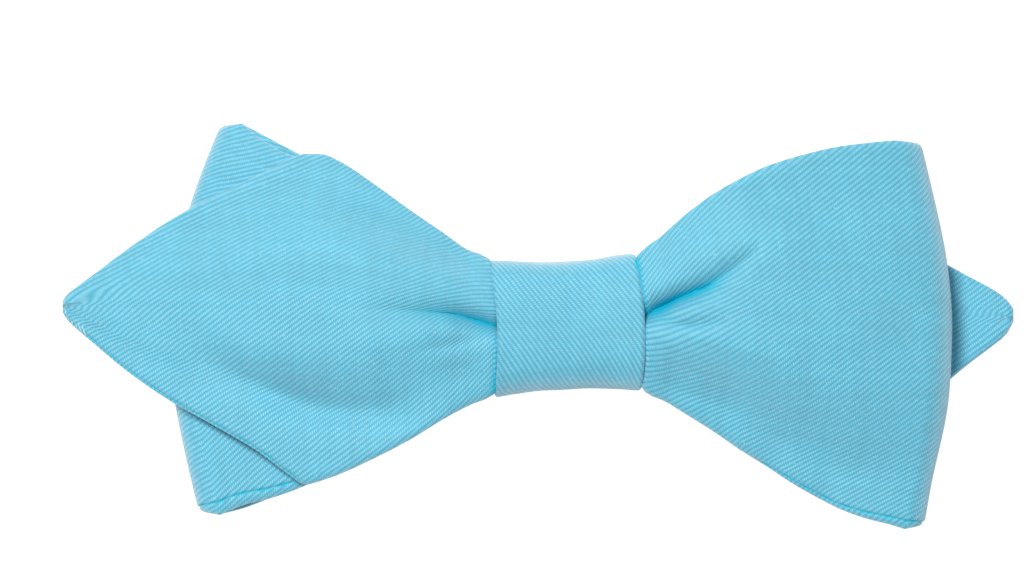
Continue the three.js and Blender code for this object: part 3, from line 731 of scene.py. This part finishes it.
def strip_rings(scene, parts, point, loop, seed):
    """Closed sections of a strip, their places on the flat cloth and the painted shade in its creases."""
    cloth = scene.bow_tie_cloth
    seam = np.concatenate([part.seam for part in parts])
    edges = all_points(parts, np.tile([-1.0, 0.0, 1.0], (len(seam), 1)))
    lower_width, upper_width = np.abs(np.diff(edges[..., 1], axis=1)).T
    from_lower = places_to_crease(lower_width, seam)
    from_upper = places_to_crease(upper_width, 0 * seam)
    across = np.concatenate([
        from_lower / lower_width[:, None] - 1,
        1 - from_upper[:, -2::-1] / upper_width[:, None],
    ], 1)
    points = all_points(parts, across)
    to_edge = np.concatenate([from_lower, from_upper[:, -2::-1]], 1)
    u, v = cloth_places(scene, points, point, loop)

    away = np.clip((np.abs(points[:, :1, 0]) - Levels(scene).knot_half) / RIPPLE_START, 0, 1)
    points[..., 2] += cloth.ripple * away * ripples(u, v, seed, RIPPLE_SIZE)
    face = np.cross(np.gradient(points, axis=0), np.gradient(points, axis=1))
    face *= loop.over.side / np.linalg.norm(face, axis=-1, keepdims=True)

    along = np.concatenate([[0], np.cumsum(np.linalg.norm(np.diff(edges[:, 1], axis=0), axis=-1))])
    ends = np.minimum(along, along[-1] - along)[:, None]
    half = cloth.strip_thickness / 2 * rounded(to_edge, cloth.edge_radius) * rounded(ends, cloth.edge_radius)
    show = np.clip(seam / SEAM_WIDTH, 0, 1)[:, None]
    lower_half = np.arange(across.shape[1]) < from_lower.shape[1]
    beside = np.where(lower_half, to_edge - seam[:, None], np.inf)
    groove = np.exp(-((beside / GROOVE_WIDTH) ** 2))
    band = 0.5 - 0.5 * np.tanh(beside / BAND_STEP)
    needle = 0.5 + 0.5 * np.cos(math.tau * u / NEEDLE_PITCH)
    cut = show * (groove * (GROOVE_DEPTH + NEEDLE_DEPTH * needle**NEEDLE_POWER) + band * BAND_DEPTH)
    thick = np.maximum(half - np.minimum(cut, CUT_SHARE * half), 0)
    over = points + face * thick[..., None]
    behind = (points - face * half[..., None])[:, -2:0:-1]
    rings = np.concatenate([over, behind, over[:, :1]], 1)
    # Where the strip lies on the table, its underside is flat.
    rings[..., 2] = np.maximum(rings[..., 2], 0)
    # Painted shade also lies in the seam's groove, fuller at the needle holes.
    painted_shade = np.maximum(painted_crease_shade(scene, points), show * groove * (0.5 + 0.5 * needle))
    painted_shade = np.concatenate([painted_shade, np.zeros(behind.shape[:2]), painted_shade[:, :1]], 1)
    back_lower = upper_width[:, None] + from_lower[:, -2::-1]
    back_v = v[:, -1:] + np.concatenate([from_upper, back_lower], 1)
    whole_u = np.concatenate([u, u[:, -2::-1]], 1)
    flat = np.stack([whole_u, np.concatenate([v, back_v[:, 1:]], 1)], -1)
    return rings, flat, painted_shade


def skin(name, rings, flat, painted_shade):
    """A closed piece made by moving a grid's places, with its places on the flat cloth as its UV map."""
    rows, columns = rings.shape[:2]
    shape = bmesh.new()
    bmesh.ops.create_grid(shape, x_segments=rows - 1, y_segments=columns - 1, size=1)
    mesh = bpy.data.meshes.new(name)
    shape.to_mesh(mesh)
    place = np.empty(3 * len(mesh.vertices))
    mesh.vertices.foreach_get("co", place)
    place = place.reshape(-1, 3)
    row = np.rint((place[:, 0] + 1) / 2 * (rows - 1)).astype(int)
    column = np.rint((place[:, 1] + 1) / 2 * (columns - 1)).astype(int)
    mesh.vertices.foreach_set("co", rings[row, column].ravel())
    corner = np.empty(len(mesh.loops), np.int32)
    mesh.loops.foreach_get("vertex_index", corner)
    mesh.uv_layers.new(name="cloth").data.foreach_set("uv", flat[row[corner], column[corner]].ravel())
    # The painted shade is kept on the mesh as a mask for the twill to read.
    mesh.attributes.new("painted_shade", "FLOAT", "POINT").data.foreach_set("value", painted_shade[row, column])
    shape.clear()
    shape.from_mesh(mesh)
    bmesh.ops.remove_doubles(shape, verts=shape.verts, dist=MERGE_DISTANCE)
    bmesh.ops.dissolve_degenerate(shape, edges=shape.edges, dist=MERGE_DISTANCE / 10)
    bmesh.ops.recalc_face_normals(shape, faces=shape.faces)
    shape.to_mesh(mesh)
    shape.free()
    mesh.shade_smooth()
    piece = bpy.data.objects.new(name, mesh)
    bpy.context.scene.collection.objects.link(piece)
    return piece


def flat_area(piece):
    """Area of one side of the cloth before it was gathered, from its UV map."""
    mesh = piece.data
    shape = bmesh.new()
    shape.from_mesh(mesh)
    cloth = shape.loops.layers.uv["cloth"]
    total = 0
    for face in shape.faces:
        corners = [loop[cloth].uv for loop in face.loops]
        total += abs(sum(a.cross(b) for a, b in zip(corners, corners[1:] + corners[:1]))) / 2
    shape.free()
    return total / 2


def knot_rings(scene):
    """Sections of the knot's band, round the gathered middle, and their places on the flat cloth."""
    cloth = scene.bow_tie_cloth
    knot = scene.bow_tie_knot
    levels = Levels(scene)
    half_height = knot.height / 2 - cloth.band_thickness
    half_depth = (levels.inner_front - levels.inner_back) / 2
    middle = (levels.inner_front + levels.inner_back) / 2
    angle = np.linspace(-math.pi / 2, 3 * math.pi / 2, KNOT_STEPS_ROUND)[:, None]
    power = 2 / np.where(np.sin(angle) > 0, knot.front_squareness, knot.back_squareness)
    y = half_height * np.sign(np.cos(angle)) * np.abs(np.cos(angle)) ** power
    z = middle + half_depth * np.sign(np.sin(angle)) * np.abs(np.sin(angle)) ** power
    round_it = np.concatenate([y, z], 1)
    steps = np.linalg.norm(np.diff(round_it, axis=0), axis=1)
    u = np.concatenate([[0], np.cumsum(steps)])
    even = np.linspace(0, u[-1], KNOT_STEPS_ROUND)
    y = np.interp(even, u, y[:, 0])[:, None]
    z = np.interp(even, u, z[:, 0])[:, None]
    u = (u[-1] / 2 - even)[:, None]
    tangent_y = np.gradient(y[:, 0])[:, None]
    tangent_z = np.gradient(z[:, 0])[:, None]
    scale = np.hypot(tangent_y, tangent_z)
    out_y = tangent_z / scale
    out_z = -tangent_y / scale

    half = levels.knot_half
    from_side = np.array(KNOT_EDGE_PLACES)
    inner = np.linspace(KNOT_EDGE_END - half, half - KNOT_EDGE_END, KNOT_STEPS_ACROSS)
    x = np.concatenate([from_side - half, inner, half - from_side[::-1]])[None, :]
    to_side = half - np.abs(x)
    thick = cloth.band_thickness * rounded(to_side, KNOT_EDGE_RADIUS)
    on_front = np.clip(out_z, 0, 1)
    waist = knot.waist / 2 * (1 - (x / half) ** 2) * on_front
    uneven = cloth.ripple * ripples(u + 0 * x, x + 0 * u, KNOT_SEED, KNOT_RIPPLE_SIZE)
    uneven = uneven * rounded(to_side, KNOT_RIPPLE_START)
    rise_over = (cloth.band_thickness + thick) / 2 - waist + uneven
    rise_under = (cloth.band_thickness - thick) / 2 + 0 * u
    rings = []
    for rise in (rise_over, rise_under[:, -2:0:-1]):
        across = x if rise is rise_over else x[:, -2:0:-1]
        height = (y + out_y * rise) * drawn_in(scene, across)
        ring = np.stack([across + 0 * u, height, z + out_z * rise], -1)
        ring[..., 0] -= knot_lean(scene, ring[..., 1])
        rings.append(ring)
    rings = np.concatenate(rings + [rings[0][:, :1]], 1)
    turn = np.array(Matrix.Rotation(knot.tilt, 3, "Z"))
    rings = rings @ turn.T
    rings[-1] = rings[0]
    whole_v = np.concatenate([-x, x[:, -2::-1] - 2 * half], 1)
    flat = np.stack([u + 0 * whole_v, whole_v + 0 * u], -1)
    return rings, flat, np.zeros(rings.shape[:2])


def socket(tree, name, kind, into=True, default=None):
    """A named input or output of a node group."""
    made = tree.interface.new_socket(name=name, in_out="INPUT" if into else "OUTPUT", socket_type=kind)
    if default is not None:
        made.default_value = default
    return made


def add_node(tree, kind, inputs=None, **settings):
    """A node with its settings, and its inputs by name or number given as values or as other sockets."""
    made = tree.nodes.new(kind)
    for name, value in settings.items():
        setattr(made, name, value)
    for name, value in (inputs or {}).items():
        if isinstance(value, bpy.types.NodeSocket):
            tree.links.new(value, made.inputs[name])
        else:
            made.inputs[name].default_value = value
    return made


def calculate(tree, operation, first, second=0.0, third=0.0):
    """The result of a Math node."""
    made = add_node(tree, "ShaderNodeMath", {0: first, 1: second, 2: third}, operation=operation)
    return made.outputs[0]


def twill_group():
    """Twill: yarns side by side along U, each floating over several crossings along V."""
    name = "twill_weave"
    if name in bpy.data.node_groups:
        return bpy.data.node_groups[name]
    tree = bpy.data.node_groups.new(name, "ShaderNodeTree")
    socket(tree, "Cloth", "NodeSocketVector")
    socket(tree, "Yarn Pitch", "NodeSocketFloat", default=0.231 * MM)
    socket(tree, "Float Pitch", "NodeSocketFloat", default=0.67 * MM)
    socket(tree, "Yarn Shift", "NodeSocketFloat", default=0.162 * MM)
    socket(tree, "Waviness", "NodeSocketFloat", default=0.05 * MM)
    socket(tree, "Height", "NodeSocketFloat", into=False)
    socket(tree, "Tone", "NodeSocketFloat", into=False)
    given = add_node(tree, "NodeGroupInput").outputs

    cloth = given["Cloth"]
    wave = add_node(tree, "ShaderNodeTexNoise", {"Vector": cloth, "Scale": WAVER_SCALE, "Detail": 1.0})
    centred = add_node(
        tree, "ShaderNodeVectorMath", {0: wave.outputs["Color"], 1: (0.5, 0.5, 0.5)}, operation="SUBTRACT"
    )
    drift = add_node(tree, "ShaderNodeVectorMath", {0: centred.outputs[0]}, operation="SCALE")
    twice = calculate(tree, "MULTIPLY", given["Waviness"], 2.0)
    tree.links.new(twice, drift.inputs["Scale"])
    moved = add_node(tree, "ShaderNodeVectorMath", {0: cloth, 1: drift.outputs[0]}, operation="ADD")
    split = add_node(tree, "ShaderNodeSeparateXYZ", {0: moved.outputs[0]})

    yarns = calculate(tree, "DIVIDE", split.outputs["X"], given["Yarn Pitch"])
    yarn = calculate(tree, "FLOOR", yarns)
    on_yarn = calculate(tree, "SUBTRACT", yarns, yarn)
    across = calculate(tree, "SUBTRACT", on_yarn, 0.5)
    fall = calculate(tree, "MULTIPLY", across, across)
    round_part = calculate(tree, "SUBTRACT", 0.25, fall)
    bulge = calculate(tree, "MULTIPLY", round_part, 4.0)

    shift = calculate(tree, "MULTIPLY", yarn, given["Yarn Shift"])
    shifted = calculate(tree, "SUBTRACT", split.outputs["Y"], shift)
    floats = calculate(tree, "DIVIDE", shifted, given["Float Pitch"])
    number = calculate(tree, "FLOOR", floats)
    on_float = calculate(tree, "SUBTRACT", floats, number)
    part = calculate(tree, "DIVIDE", on_float, FLOAT_COVER)
    part = calculate(tree, "MINIMUM", part, 1.0)
    half_turn = calculate(tree, "MULTIPLY", part, math.pi)
    arch = calculate(tree, "SINE", half_turn)
    arch = calculate(tree, "MAXIMUM", arch, 0.0)
    arch = calculate(tree, "POWER", arch, FLOAT_FULLNESS)
    fullness = calculate(tree, "MULTIPLY_ADD", bulge, YARN_ROUNDNESS, 1 - YARN_ROUNDNESS)
    lift = calculate(tree, "MULTIPLY", arch, fullness)

    one_yarn = add_node(tree, "ShaderNodeTexWhiteNoise", {"W": yarn}, noise_dimensions="1D")
    pair = add_node(tree, "ShaderNodeCombineXYZ", {0: yarn, 1: number})
    one_float = add_node(tree, "ShaderNodeTexWhiteNoise", {"Vector": pair.outputs[0]}, noise_dimensions="2D")
    by_yarn = calculate(
        tree, "MULTIPLY_ADD", one_yarn.outputs["Value"], YARN_UNEVENNESS, 1 - YARN_UNEVENNESS
    )
    by_float = calculate(
        tree, "MULTIPLY_ADD", one_float.outputs["Value"], FLOAT_UNEVENNESS, 1 - FLOAT_UNEVENNESS
    )
    # The tone follows a float's height; it colours the yarns and also paints a highlight on the rib tops and
    # shade in the gaps.
    tone = calculate(tree, "MULTIPLY", lift, by_float)
    height = calculate(tree, "MULTIPLY", tone, by_yarn)

    result = add_node(tree, "NodeGroupOutput")
    tree.links.new(height, result.inputs["Height"])
    tree.links.new(tone, result.inputs["Tone"])
    return tree


def mottle_group():
    """Uneven dye and wear: a slow change of tone, streaks along both yarns and small pale specks of lint."""
    name = "uneven_tone"
    if name in bpy.data.node_groups:
        return bpy.data.node_groups[name]
    tree = bpy.data.node_groups.new(name, "ShaderNodeTree")
    socket(tree, "Place", "NodeSocketVector")
    socket(tree, "Scale", "NodeSocketFloat", default=150.0)
    socket(tree, "Amount", "NodeSocketFloat", default=0.1)
    socket(tree, "Streaks", "NodeSocketFloat", default=0.0)
    socket(tree, "Tone", "NodeSocketFloat", into=False)
    socket(tree, "Specks", "NodeSocketFloat", into=False)
    given = add_node(tree, "NodeGroupInput").outputs
    place = given["Place"]
    slow = add_node(tree, "ShaderNodeTexNoise", {"Vector": place, "Scale": given["Scale"], "Detail": 3.0})
    off = calculate(tree, "SUBTRACT", slow.outputs["Fac"], 0.5)
    tone = calculate(tree, "MULTIPLY_ADD", off, given["Amount"], 1.0)
    for stretch in STREAK_STRETCHES:
        drawn = add_node(tree, "ShaderNodeMapping", {"Vector": place, "Scale": stretch})
        finer = calculate(tree, "MULTIPLY", given["Scale"], STREAK_FINENESS)
        streak = add_node(
            tree, "ShaderNodeTexNoise", {"Vector": drawn.outputs[0], "Scale": finer, "Detail": 2.0}
        )
        apart = calculate(tree, "SUBTRACT", streak.outputs["Fac"], 0.5)
        tone = calculate(tree, "MULTIPLY_ADD", apart, given["Streaks"], tone)
    close = calculate(tree, "MULTIPLY", given["Scale"], SPECK_FINENESS)
    fine = add_node(tree, "ShaderNodeTexNoise", {"Vector": place, "Scale": close, "Detail": 0.0})
    low, high = SPECK_RANGE
    specks = add_node(
        tree, "ShaderNodeMapRange", {"Value": fine.outputs["Fac"], "From Min": low, "From Max": high}
    )
    result = add_node(tree, "NodeGroupOutput")
    tree.links.new(tone, result.inputs["Tone"])
    tree.links.new(specks.outputs[0], result.inputs["Specks"])
    return tree


def start_material(name):
    """A new material, its nodes and its shader."""
    material = bpy.data.materials.new(name)
    material.use_nodes = True
    tree = material.node_tree
    return material, tree, tree.nodes["Principled BSDF"]


def mottle_colour(tree, shader, place, tint, scale, amount):
    """Gives a shader a colour that is a little uneven."""
    inputs = {"Place": place, "Scale": scale, "Amount": amount}
    mottle = add_node(tree, "ShaderNodeGroup", inputs, node_tree=mottle_group())
    toned = add_node(tree, "ShaderNodeVectorMath", {0: tint}, operation="SCALE")
    tree.links.new(mottle.outputs["Tone"], toned.inputs["Scale"])
    tree.links.new(toned.outputs[0], shader.inputs["Base Color"])


def twill_material(scene):
    """The light blue twill, laid by the piece's own map of the flat cloth."""
    name = "light_blue_twill"
    if name in bpy.data.materials:
        return bpy.data.materials[name]
    cloth = scene.bow_tie_cloth
    material, tree, shader = start_material(name)
    place = add_node(tree, "ShaderNodeUVMap", uv_map="cloth").outputs[0]
    pitches = {
        "Cloth": place,
        "Yarn Pitch": cloth.yarn_pitch,
        "Float Pitch": cloth.float_pitch,
        "Yarn Shift": cloth.yarn_shift,
    }
    weave = add_node(tree, "ShaderNodeGroup", pitches, node_tree=twill_group())
    unevenness = {"Place": place, "Scale": 160.0, "Amount": 0.16, "Streaks": 0.18}
    mottle = add_node(tree, "ShaderNodeGroup", unevenness, node_tree=mottle_group())

    # Colour by the floats' height: partly the yarns' own colours, partly a painted highlight on the rib tops
    # and painted shade in the gaps.
    woven_with_painted_shade = add_node(tree, "ShaderNodeMix", {"Factor": weave.outputs["Tone"]}, data_type="RGBA")
    woven_with_painted_shade.inputs["A"].default_value = (*cloth.gap_colour, 1)
    woven_with_painted_shade.inputs["B"].default_value = (*cloth.rib_colour, 1)
    toned = add_node(tree, "ShaderNodeVectorMath", {0: woven_with_painted_shade.outputs["Result"]}, operation="SCALE")
    tree.links.new(mottle.outputs["Tone"], toned.inputs["Scale"])
    specks = calculate(tree, "MULTIPLY", mottle.outputs["Specks"], LINT_SHARE)
    lint = add_node(tree, "ShaderNodeMix", {"Factor": specks}, data_type="RGBA")
    tree.links.new(toned.outputs[0], lint.inputs["A"])
    lint.inputs["B"].default_value = (*LINT_COLOUR, 1)
    # Painted shade: where the mask is full the colour turns to the fuller shade colour and the sheen and
    # shine go.
    painted_shade = add_node(tree, "ShaderNodeAttribute", attribute_name="painted_shade").outputs["Fac"]
    painted_shade_mix = add_node(tree, "ShaderNodeMix", {"Factor": painted_shade}, data_type="RGBA")
    tree.links.new(lint.outputs["Result"], painted_shade_mix.inputs["A"])
    painted_shade_mix.inputs["B"].default_value = (*cloth.painted_shade_colour, 1)
    tree.links.new(painted_shade_mix.outputs["Result"], shader.inputs["Base Color"])

    unshaded_share = calculate(tree, "SUBTRACT", 1.0, painted_shade)
    sheen = calculate(tree, "MULTIPLY", unshaded_share, SHEEN)
    shine = calculate(tree, "MULTIPLY", unshaded_share, TWILL_SHINE)
    rough = calculate(tree, "MULTIPLY_ADD", weave.outputs["Tone"], -RIB_SMOOTHNESS, TWILL_ROUGHNESS)
    tree.links.new(sheen, shader.inputs["Sheen Weight"])
    tree.links.new(shine, shader.inputs["Specular IOR Level"])
    tree.links.new(rough, shader.inputs["Roughness"])
    relief = {"Height": weave.outputs["Height"], "Distance": cloth.weave_depth}
    bump = add_node(tree, "ShaderNodeBump", relief)
    tree.links.new(bump.outputs[0], shader.inputs["Normal"])
    shader.inputs["IOR"].default_value = TWILL_IOR
    shader.inputs["Sheen Roughness"].default_value = SHEEN_ROUGHNESS
    shader.inputs["Sheen Tint"].default_value = (*SHEEN_TINT, 1)
    return material


def metal_material():
    """Satin nickel plate, brushed along the clip."""
    name = "satin_nickel"
    if name in bpy.data.materials:
        return bpy.data.materials[name]
    material, tree, shader = start_material(name)
    place = add_node(tree, "ShaderNodeTexCoord").outputs["Object"]
    stretched = add_node(tree, "ShaderNodeMapping", {"Vector": place, "Scale": BRUSH_STRETCH}).outputs[0]
    brushed = add_node(tree, "ShaderNodeTexNoise", {"Vector": stretched, "Scale": 1.0, "Detail": 3.0})
    mottle_colour(tree, shader, place, NICKEL_COLOUR, scale=220.0, amount=0.2)
    rough = calculate(tree, "MULTIPLY_ADD", brushed.outputs["Fac"], BRUSH_ROUGHNESS, NICKEL_ROUGHNESS)
    tree.links.new(rough, shader.inputs["Roughness"])
    bump = add_node(tree, "ShaderNodeBump", {"Height": brushed.outputs["Fac"], "Distance": BRUSH_DEPTH})
    tree.links.new(bump.outputs[0], shader.inputs["Normal"])
    shader.inputs["Metallic"].default_value = 1
    return material


def floor_material(scene):
    """The plain pale floor."""
    stage = scene.bow_tie_stage
    material, tree, shader = start_material("pale_floor")
    place = add_node(tree, "ShaderNodeTexCoord").outputs["Object"]
    mottle_colour(tree, shader, place, stage.floor_colour[:], scale=3.0, amount=0.02)
    shader.inputs["Roughness"].default_value = FLOOR_ROUGHNESS
    shader.inputs["Emission Color"].default_value = (1, 1, 1, 1)
    shader.inputs["Emission Strength"].default_value = stage.floor_glow
    return material


def thread_material():
    """Pale sewing thread."""
    name = "pale_thread"
    if name in bpy.data.materials:
        return bpy.data.materials[name]
    material, tree, shader = start_material(name)
    place = add_node(tree, "ShaderNodeTexCoord").outputs["Object"]
    mottle_colour(tree, shader, place, THREAD_COLOUR, scale=4000.0, amount=0.3)
    shader.inputs["Roughness"].default_value = THREAD_ROUGHNESS
    return material


def front_point(scene):
    """The front strip's pointed wing."""
    wings = scene.bow_tie_wings
    return make_wing(
        scene, LEFT, FRONT_LAYER, wings.front_point_reach,
        (wings.front_point_top, wings.front_point_bottom), FRONT_POINT, flanks=POINT_FLANKS,
        folds=FRONT_POINT_FOLDS, seam=FRONT_POINT_SEAM, grain=FRONT_POINT_GRAIN,
    )


def stitch_ends(scene, wing, along):
    """The two ends of a stitch that slants over the seam on the face of the wing."""
    places = []
    for inwards, onwards in ((STITCH_INSIDE[0], 0), (STITCH_INSIDE[1], STITCH_SLANT)):
        there = np.full((1, 1), along - onwards / wing.length)
        rows = wing.rows
        width = column_at(rows, CREASE, there) - column_at(rows, LOWER, there)
        point = wing_points(scene, wing, there, inwards / width - 1)[0, 0]
        lift = scene.bow_tie_cloth.strip_thickness / 2 * rounded(inwards, scene.bow_tie_cloth.edge_radius)
        places.append(Vector(point + (0, 0, lift)))
    return places


def dress(piece, material, slot, *nodes):
    """Gives a piece its finish, hangs it under the root body and hides the solids it stands for."""
    piece.data.materials.append(material)
    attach(piece, "root")
    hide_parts(*nodes)


class BOWTIE_OT_front_bow(bpy.types.Operator):
    """Makes the front strip: its point at the left and its open loop at the right"""

    bl_idname = "bow_tie.front_bow"
    bl_label = "Front bow"

    def execute(self, context):
        scene = context.scene
        wings = scene.bow_tie_wings
        point = front_point(scene)
        loop = make_loop(
            scene, RIGHT, FRONT_LAYER, wings.front_loop_reach,
            (wings.front_loop_top, wings.front_loop_bottom), FRONT_LOOP_OVER, FRONT_LOOP_UNDER,
            (wings.front_lean_top, wings.front_lean_bottom), FRONT_LOOP_FOLDS, FRONT_LOOP_SEAM,
            FRONT_LOOP_GRAIN,
        )
        parts = strip_parts(scene, point, loop, FRONT_LAYER)
        piece = skin("front_bow_cloth", *strip_rings(scene, parts, point, loop, FRONT_SEED))
        dress(piece, twill_material(scene), "twill", "front_bow")
        flat_area(piece)
        return {"FINISHED"}


class BOWTIE_OT_back_bow(bpy.types.Operator):
    """Makes the back strip: its open loop at the left and its point at the right"""

    bl_idname = "bow_tie.back_bow"
    bl_label = "Back bow"

    def execute(self, context):
        scene = context.scene
        wings = scene.bow_tie_wings
        point = make_wing(
            scene, RIGHT, BACK_LAYER, wings.back_point_reach,
            (wings.back_point_top, wings.back_point_bottom), BACK_POINT, grain=BACK_POINT_GRAIN,
        )
        loop = make_loop(
            scene, LEFT, BACK_LAYER, wings.back_loop_reach,
            (wings.back_loop_top, wings.back_loop_bottom), BACK_LOOP_OVER, BACK_LOOP_UNDER,
            (wings.back_lean_top, wings.back_lean_bottom), (), BACK_LOOP_SEAM, BACK_LOOP_GRAIN,
        )
        parts = strip_parts(scene, point, loop, BACK_LAYER)
        piece = skin("back_bow_cloth", *strip_rings(scene, parts, point, loop, BACK_SEED))
        dress(piece, twill_material(scene), "twill", "back_bow")
        flat_area(piece)
        return {"FINISHED"}


class BOWTIE_OT_knot(bpy.types.Operator):
    """Makes the knot, a band of the same cloth round the gathered middle"""

    bl_idname = "bow_tie.knot"
    bl_label = "Knot"

    def execute(self, context):
        scene = context.scene
        piece = skin("knot_band", *knot_rings(scene))
        dress(piece, twill_material(scene), "twill", "knot")
        return {"FINISHED"}


class BOWTIE_OT_tip_stitches(bpy.types.Operator):
    """Makes the few slanting stitches that close the front point's tip"""

    bl_idname = "bow_tie.tip_stitches"
    bl_label = "Tip stitches"

    def execute(self, context):
        scene = context.scene
        wing = front_point(scene)
        shape = bmesh.new()
        for along in np.linspace(*STITCH_SPAN, STITCHES):
            start, end = stitch_ends(scene, wing, along)
            middle = (start + end) / 2
            aim = (end - start).to_track_quat("X", "Z").to_matrix().to_4x4()
            size = Vector(((end - start).length / 2, STITCH_RADIUS, STITCH_RADIUS))
            place = Matrix.Translation(middle) @ aim @ Matrix.Diagonal(size.to_4d())
            bmesh.ops.create_uvsphere(shape, u_segments=16, v_segments=12, radius=1, matrix=place)
        mesh = bpy.data.meshes.new("tip_stitches")
        shape.to_mesh(mesh)
        shape.free()
        mesh.shade_smooth()
        piece = bpy.data.objects.new("tip_stitches", mesh)
        scene.collection.objects.link(piece)
        piece.data.materials.append(thread_material())
        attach(piece, "root")
        return {"FINISHED"}


class BOWTIE_OT_collar_clip(bpy.types.Operator):
    """Gives the collar clip its finish"""

    bl_idname = "bow_tie.collar_clip"
    bl_label = "Collar clip"

    def execute(self, context):
        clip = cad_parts["collar_clip"]
        clip.data.materials.clear()
        clip.data.materials.append(metal_material())
        return {"FINISHED"}


class BOWTIE_OT_stage(bpy.types.Operator):
    """Makes the plain floor, the soft light and the camera straight above"""

    bl_idname = "bow_tie.stage"
    bl_label = "Stage"

    def execute(self, context):
        scene = context.scene
        stage = scene.bow_tie_stage
        shape = bmesh.new()
        bmesh.ops.create_grid(shape, x_segments=1, y_segments=1, size=FLOOR_SIZE)
        mesh = bpy.data.meshes.new("floor")
        shape.to_mesh(mesh)
        shape.free()
        mesh.materials.append(floor_material(scene))
        floor = bpy.data.objects.new("floor", mesh)
        scene.collection.objects.link(floor)

        world = bpy.data.worlds.new("studio")
        world.use_nodes = True
        sky = world.node_tree.nodes["Background"]
        sky.inputs["Color"].default_value = (1, 1, 1, 1)
        sky.inputs["Strength"].default_value = stage.sky_strength
        scene.world = world
        scene.view_settings.view_transform = "Standard"

        key = bpy.data.lights.new("key", "AREA")
        key.shape = "DISK"
        key.size = stage.key_size
        key.energy = stage.key_power
        lamp = bpy.data.objects.new("key", key)
        lamp.location = stage.key_place
        lamp.rotation_euler = (-lamp.location).to_track_quat("-Z", "Y").to_euler()
        scene.collection.objects.link(lamp)

        lens = bpy.data.cameras.new("camera")
        lens.lens = stage.lens
        camera = bpy.data.objects.new("camera", lens)
        middle = Vector(stage.view_middle)
        camera.location = middle + Vector((0, 0, stage.view_width * stage.lens / lens.sensor_width))
        scene.collection.objects.link(camera)
        scene.camera = camera
        return {"FINISHED"}


class BOWTIE_PT_panel(bpy.types.Panel):
    """The pieces of the bow tie, and its sizes and colours"""

    bl_idname = "BOWTIE_PT_panel"
    bl_label = "Bow Tie"
    bl_category = "Bow Tie"
    bl_space_type = "VIEW_3D"
    bl_region_type = "UI"

    def draw(self, context):
        for operator in OPERATORS:
            self.layout.operator(operator.bl_idname)
        for name in GROUPS:
            group = getattr(context.scene, name)
            box = self.layout.box()
            for setting in group.__annotations__:
                box.prop(group, setting)


GROUPS = {
    "bow_tie_cloth": BowTieCloth,
    "bow_tie_knot": BowTieKnot,
    "bow_tie_wings": BowTieWings,
    "bow_tie_stage": BowTieStage,
}
OPERATORS = (
    BOWTIE_OT_front_bow,
    BOWTIE_OT_back_bow,
    BOWTIE_OT_knot,
    BOWTIE_OT_tip_stitches,
    BOWTIE_OT_collar_clip,
    BOWTIE_OT_stage,
)


def register():
    """Makes the settings, the operators and the panel known to Blender."""
    for name, group in GROUPS.items():
        bpy.utils.register_class(group)
        setattr(bpy.types.Scene, name, PointerProperty(type=group))
    for kind in (*OPERATORS, BOWTIE_PT_panel):
        bpy.utils.register_class(kind)


def unregister():
    """Takes the panel, the operators and the settings out again."""
    for kind in reversed((*OPERATORS, BOWTIE_PT_panel)):
        bpy.utils.unregister_class(kind)
    for name, group in reversed(GROUPS.items()):
        delattr(bpy.types.Scene, name)
        bpy.utils.unregister_class(group)


def main():
    """Makes the whole scene."""
    register()
    bpy.ops.bow_tie.stage()
    bpy.ops.bow_tie.front_bow()
    bpy.ops.bow_tie.back_bow()
    bpy.ops.bow_tie.knot()
    bpy.ops.bow_tie.tip_stitches()
    bpy.ops.bow_tie.collar_clip()


if __name__ == "__main__":
    main()
